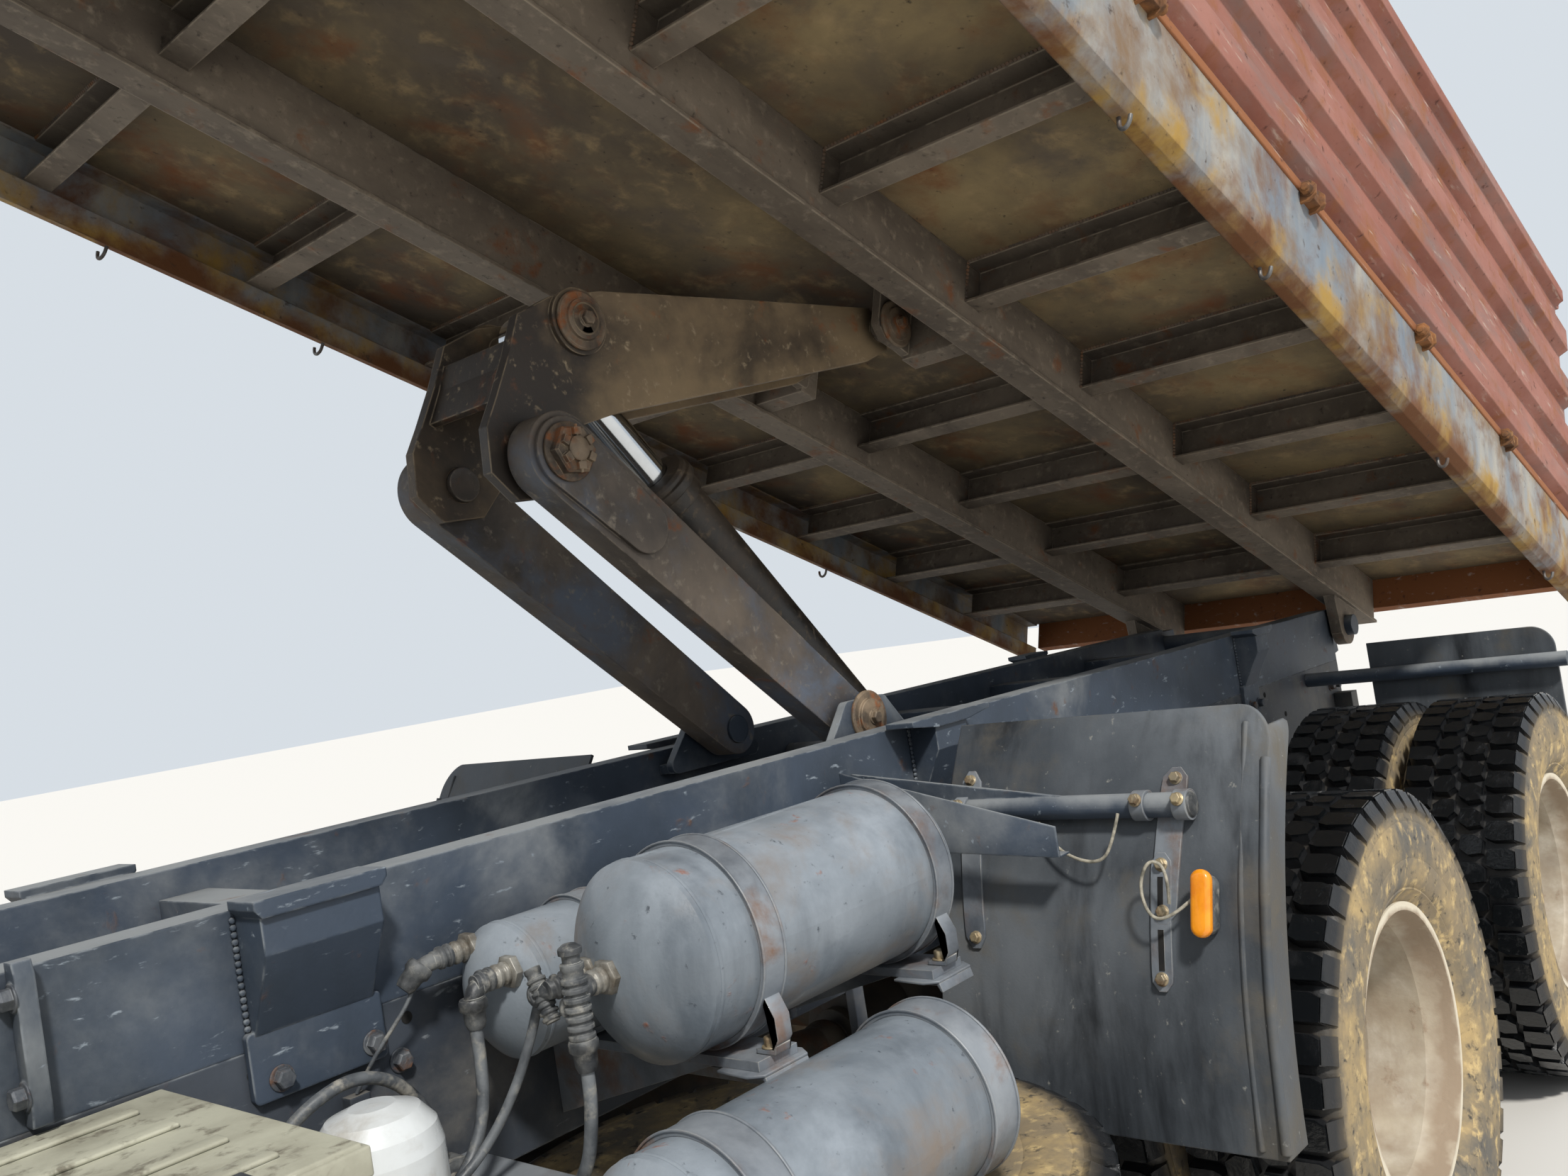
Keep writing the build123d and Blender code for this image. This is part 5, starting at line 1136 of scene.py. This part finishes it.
cushion_mesh = cushion((470, 440, 105), 22, (-0.45, 0.0, 0.45), seat_cloth)
back_mesh = cushion((640, 430, 84), 14, (-0.5, -0.1, 0.3, 0.66), seat_cloth)
LEAN = Matrix.Rotation(math.radians(-3), 4, "Y")
STAND_UP = Matrix(((0, 0, 1, 0), (0, 1, 0, 0), (-1, 0, 0, 0), (0, 0, 0, 1)))
for side, way in (("left", 1), ("right", -1)):
    for form, data, x, z, pose, fill in (("cushion", cushion_mesh, 3735, 1572, LEAN, 0.8),
                                         ("back", back_mesh, 3460, 1995, STAND_UP, 0.7)):
        place = CHASSIS @ Matrix.Translation((x, way * SEAT_Y, z)) @ pose
        made = piece("seat_" + form + "_" + side, [(data, place)], "cab", angle=60, replaces=("seats",))
PEDESTAL = [(3440, 1190.5), (3900, 1190.5), (3880, 1240), (3780, 1260), (3760, 1440), (3930, 1470),
            (3940, 1512), (3440, 1512), (3430, 1650), (3412, 1650), (3412, 1470)]
parts = [(slab(PEDESTAL, 520, 840, "y", trim_plastic), CHASSIS)]
for z in range(1270, 1440, 34):
    pleat = [(3470, z), (3790, z), (3800, z + 12), (3790, z + 24), (3470, z + 24), (3460, z + 12)]
    parts.append((slab(pleat, 500, 860, "y", trim_plastic), CHASSIS))
piece("seat_bases", both_sides(parts), "cab", bevel=0.004, angle=35, replaces=("seats",))

# Tyres and wheels: block tread drive tyres, wet black on the crown and caked with
# clay on the side walls, on cream disc wheels that rust along the lips.
AXLES = {"front": 3775.0, "a": 0.0, "b": -1400.0}
HUB_Z = 525.0
SINGLE_Y, TWIN_Y = (1015.0,), (1095.0, 745.0)
SPARE = (1250.0, 645.0, 562.0)


def in_a_ring(tree, given):
    # turns each copy by its share of a full turn about Y
    points = put(tree, "GeometryNodeMeshLine", {"Count": given["Count"], "Offset": (0, 0, 0)})
    step = number(tree, "ADD", put(tree, "GeometryNodeInputIndex", {}).outputs[0], given["Phase"])
    angle = number(tree, "MULTIPLY", number(tree, "DIVIDE", step, given["Count"]), 2 * math.pi)
    turn = put(tree, "ShaderNodeCombineXYZ", {"Y": angle})
    return {"Points": points.outputs[0], "Rotation": turn.outputs[0]}


around = build_copies("around the wheel", [("Phase", "Float", 0.0)], in_a_ring)


def wheel_finish(name, centre, flat, rows, rough):
    # bands by distance from the hub: rows of (radius, softness, colour, roughness)
    made = finish(name, rows[0][2], rows[0][4], rough=rough, grain=90, relief=0.3)
    tree = made.node_tree
    shader = tree.nodes["Principled BSDF"]
    place = put(tree, "ShaderNodeTexCoord", {}).outputs["Object"]
    away = put(tree, "ShaderNodeVectorMath", {0: place, 1: centre}, operation="SUBTRACT")
    plane = put(tree, "ShaderNodeVectorMath", {0: away.outputs[0], 1: (1, 1, 0) if flat else (1, 0, 1)},
                operation="MULTIPLY")
    reach = put(tree, "ShaderNodeVectorMath", {0: plane.outputs[0]}, operation="LENGTH")
    wander = put(tree, "ShaderNodeTexNoise", {"Vector": place, "Scale": 16, "Detail": 5})
    waver = number(tree, "MULTIPLY_ADD", wander.outputs[0], 0.03, reach.outputs["Value"])
    colour, dull = [shader.inputs[slot].links[0].from_socket for slot in ("Base Color", "Roughness")]
    for radius, soft, tint, roughness in rows[1:]:
        ramp = put(tree, "ShaderNodeMapRange", {"Value": waver, "From Min": radius + 0.015 - soft,
                                                "From Max": radius + 0.015 + soft}).outputs[0]
        colour = blend(tree, ramp, colour, tone(tint))
        dull = blend(tree, ramp, dull, roughness)
    feed(tree, shader, {"Base Color": colour, "Roughness": dull})
    return made


CLAY = [
    patch_layer("8a7a60", 0.54, 3.2, 0.26, 0.9, 0.2),
    patch_layer("ab9468", 0.44, 8.0, 0.14, 0.9, 0.2),
    patch_layer("5d5a54", 0.38, 5.0, 0.14, 0.8, 0.1),
    patch_layer("c0a878", 0.26, 26.0, 0.10, 0.9, 0.2),
    patch_layer("3a3835", 0.20, 44.0, 0.08, 0.8, 0.2),
]
RIM_WEAR = [
    patch_layer("c3b9a4", 0.50, 3.0, 0.26, 0.7, 0.0),
    patch_layer("a0978a", 0.30, 5.0, 0.20, 0.85, 0.1),
    patch_layer("7c5a42", 0.08, 14.0, 0.08, 0.9, 0.4),
    patch_layer("e0dccf", 0.26, 9.0, 0.18, 0.6, 0.0),
]
rubber = {}
rim_coat = {}
HUBS = {key: ((x + SHIFT_X) / 1000, 0, HUB_Z / 1000) for key, x in AXLES.items()}
HUBS["spare"] = tuple(CHASSIS @ Vector(SPARE))
for key, centre in HUBS.items():
    flat = key == "spare"
    rubber[key] = wheel_finish("rubber " + key, centre, flat, [
        (0, 0, "756b59", 0.8, CLAY), (0.476, 0.010, "4a4338", 0.7), (0.492, 0.010, "1d1e20", 0.42),
        (0.519, 0.003, "101214", 0.2)], 0.85)
    rim_coat[key] = wheel_finish("rim coat " + key, centre, flat, [
        (0, 0, "cfc7b4", 0.6, RIM_WEAR), (0.112, -0.008, "5f6a76", 0.6),
        (0.262, 0.010, "94836f", 0.85), (0.284, 0.006, "cfc6b2", 0.7)], 0.55)

# half of the section, from the crown to the bead, as (radius, half width)
HALF_SECTION = [
    (499, 110), (496, 128), (490, 140), (480, 147), (463, 150.5), (459, 149.5), (455, 151), (420, 153),
    (388, 152), (384, 150.5), (380, 151.5), (345, 147), (330, 141), (326, 137), (322, 138), (306, 124),
    (292, 115), (288.5, 108)]
TYRE_PROFILE = [(r, -w) for r, w in reversed(HALF_SECTION)] + [(500, 0)] + HALF_SECTION
# outline in mm along the tread and across it, with the taper and the phase of each row
LUGS_PER_TURN, LUG_LOW, LUG_HIGH = 46, 494, 524.2
LUG_ROWS = [
    ([(-29, 70), (16, 64), (26, 84), (25, 134), (-21, 134), (-29, 114)], 0.07, 0.0),
    ([(-27, 8), (12, 3), (29, 24), (24, 58), (-10, 62), (-25, 42)], 0.06, 0.45),
    ([(-12, -62), (24, -58), (27, -22), (10, -4), (-27, -8), (-29, -38)], 0.06, 0.1),
    ([(-25, -134), (21, -134), (29, -114), (29, -70), (-16, -64), (-26, -84)], 0.07, 0.55),
]


def lug_block(outline, taper, made):
    # a tread block: its outline drawn in a little at the crown
    cx, cy = [sum(p[k] for p in outline) / len(outline) for k in (0, 1)]
    crown = [(x + (cx - x) * taper, y + (cy - y) * taper, LUG_HIGH) for x, y in outline]
    return prism([(x, y, LUG_LOW) for x, y in outline], crown, "lug", made)


def shoulder_lug(side, made):
    # a block that folds over the tyre's shoulder on one side
    inner, outer = side * 134, side * 151
    crown = [(-27, inner, 521), (22, inner, 521), (22, outer, 486), (-27, outer, 486)]
    base = [(-27, inner, 490), (22, inner, 490), (22, outer - side * 6, 464), (-27, outer - side * 6, 464)]
    return prism(base, crown, "shoulder lug", made)


def tyre_mesh(made):
    carcass = turned(TYRE_PROFILE, 96, made, closed=True)
    carcass.transform(Matrix.Rotation(math.radians(-90), 4, "X"))
    lugs = [(lug_block(outline, taper, made), phase) for outline, taper, phase in LUG_ROWS]
    lugs += [(shoulder_lug(1, made), 0.0), (shoulder_lug(-1, made), 0.55)]
    return joined("tyre", [(carcass, Matrix())] + [
        (repeated(around, lug, Count=LUGS_PER_TURN, Phase=phase, Finish=made), Matrix())
        for lug, phase in lugs])


for key, x in AXLES.items():
    single = tyre_mesh(rubber[key])
    for side, way in (("left", 1), ("right", -1)):
        front = key == "front"
        places = [at(single, (x, way * y, HUB_Z)) for y in (SINGLE_Y if front else TWIN_Y)]
        node = "tyre_front_" + side if front else "tyres_" + key + "_" + side
        body = "wheel_front_" + side if front else "wheels_" + key + "_" + side
        piece(node + "_tread", places, body, angle=30, replaces=(node,))
        dress(rim_coat[key], node.replace("tyre", "rim"))
spare_place = CHASSIS @ Matrix.Translation(SPARE) @ Matrix.Rotation(math.radians(90), 4, "X")
piece("spare_tread", [(tyre_mesh(rubber["spare"]), spare_place)], "chassis", angle=30,
      replaces=("spare_tyre",))
dress(rim_coat["spare"], "spare_rim")
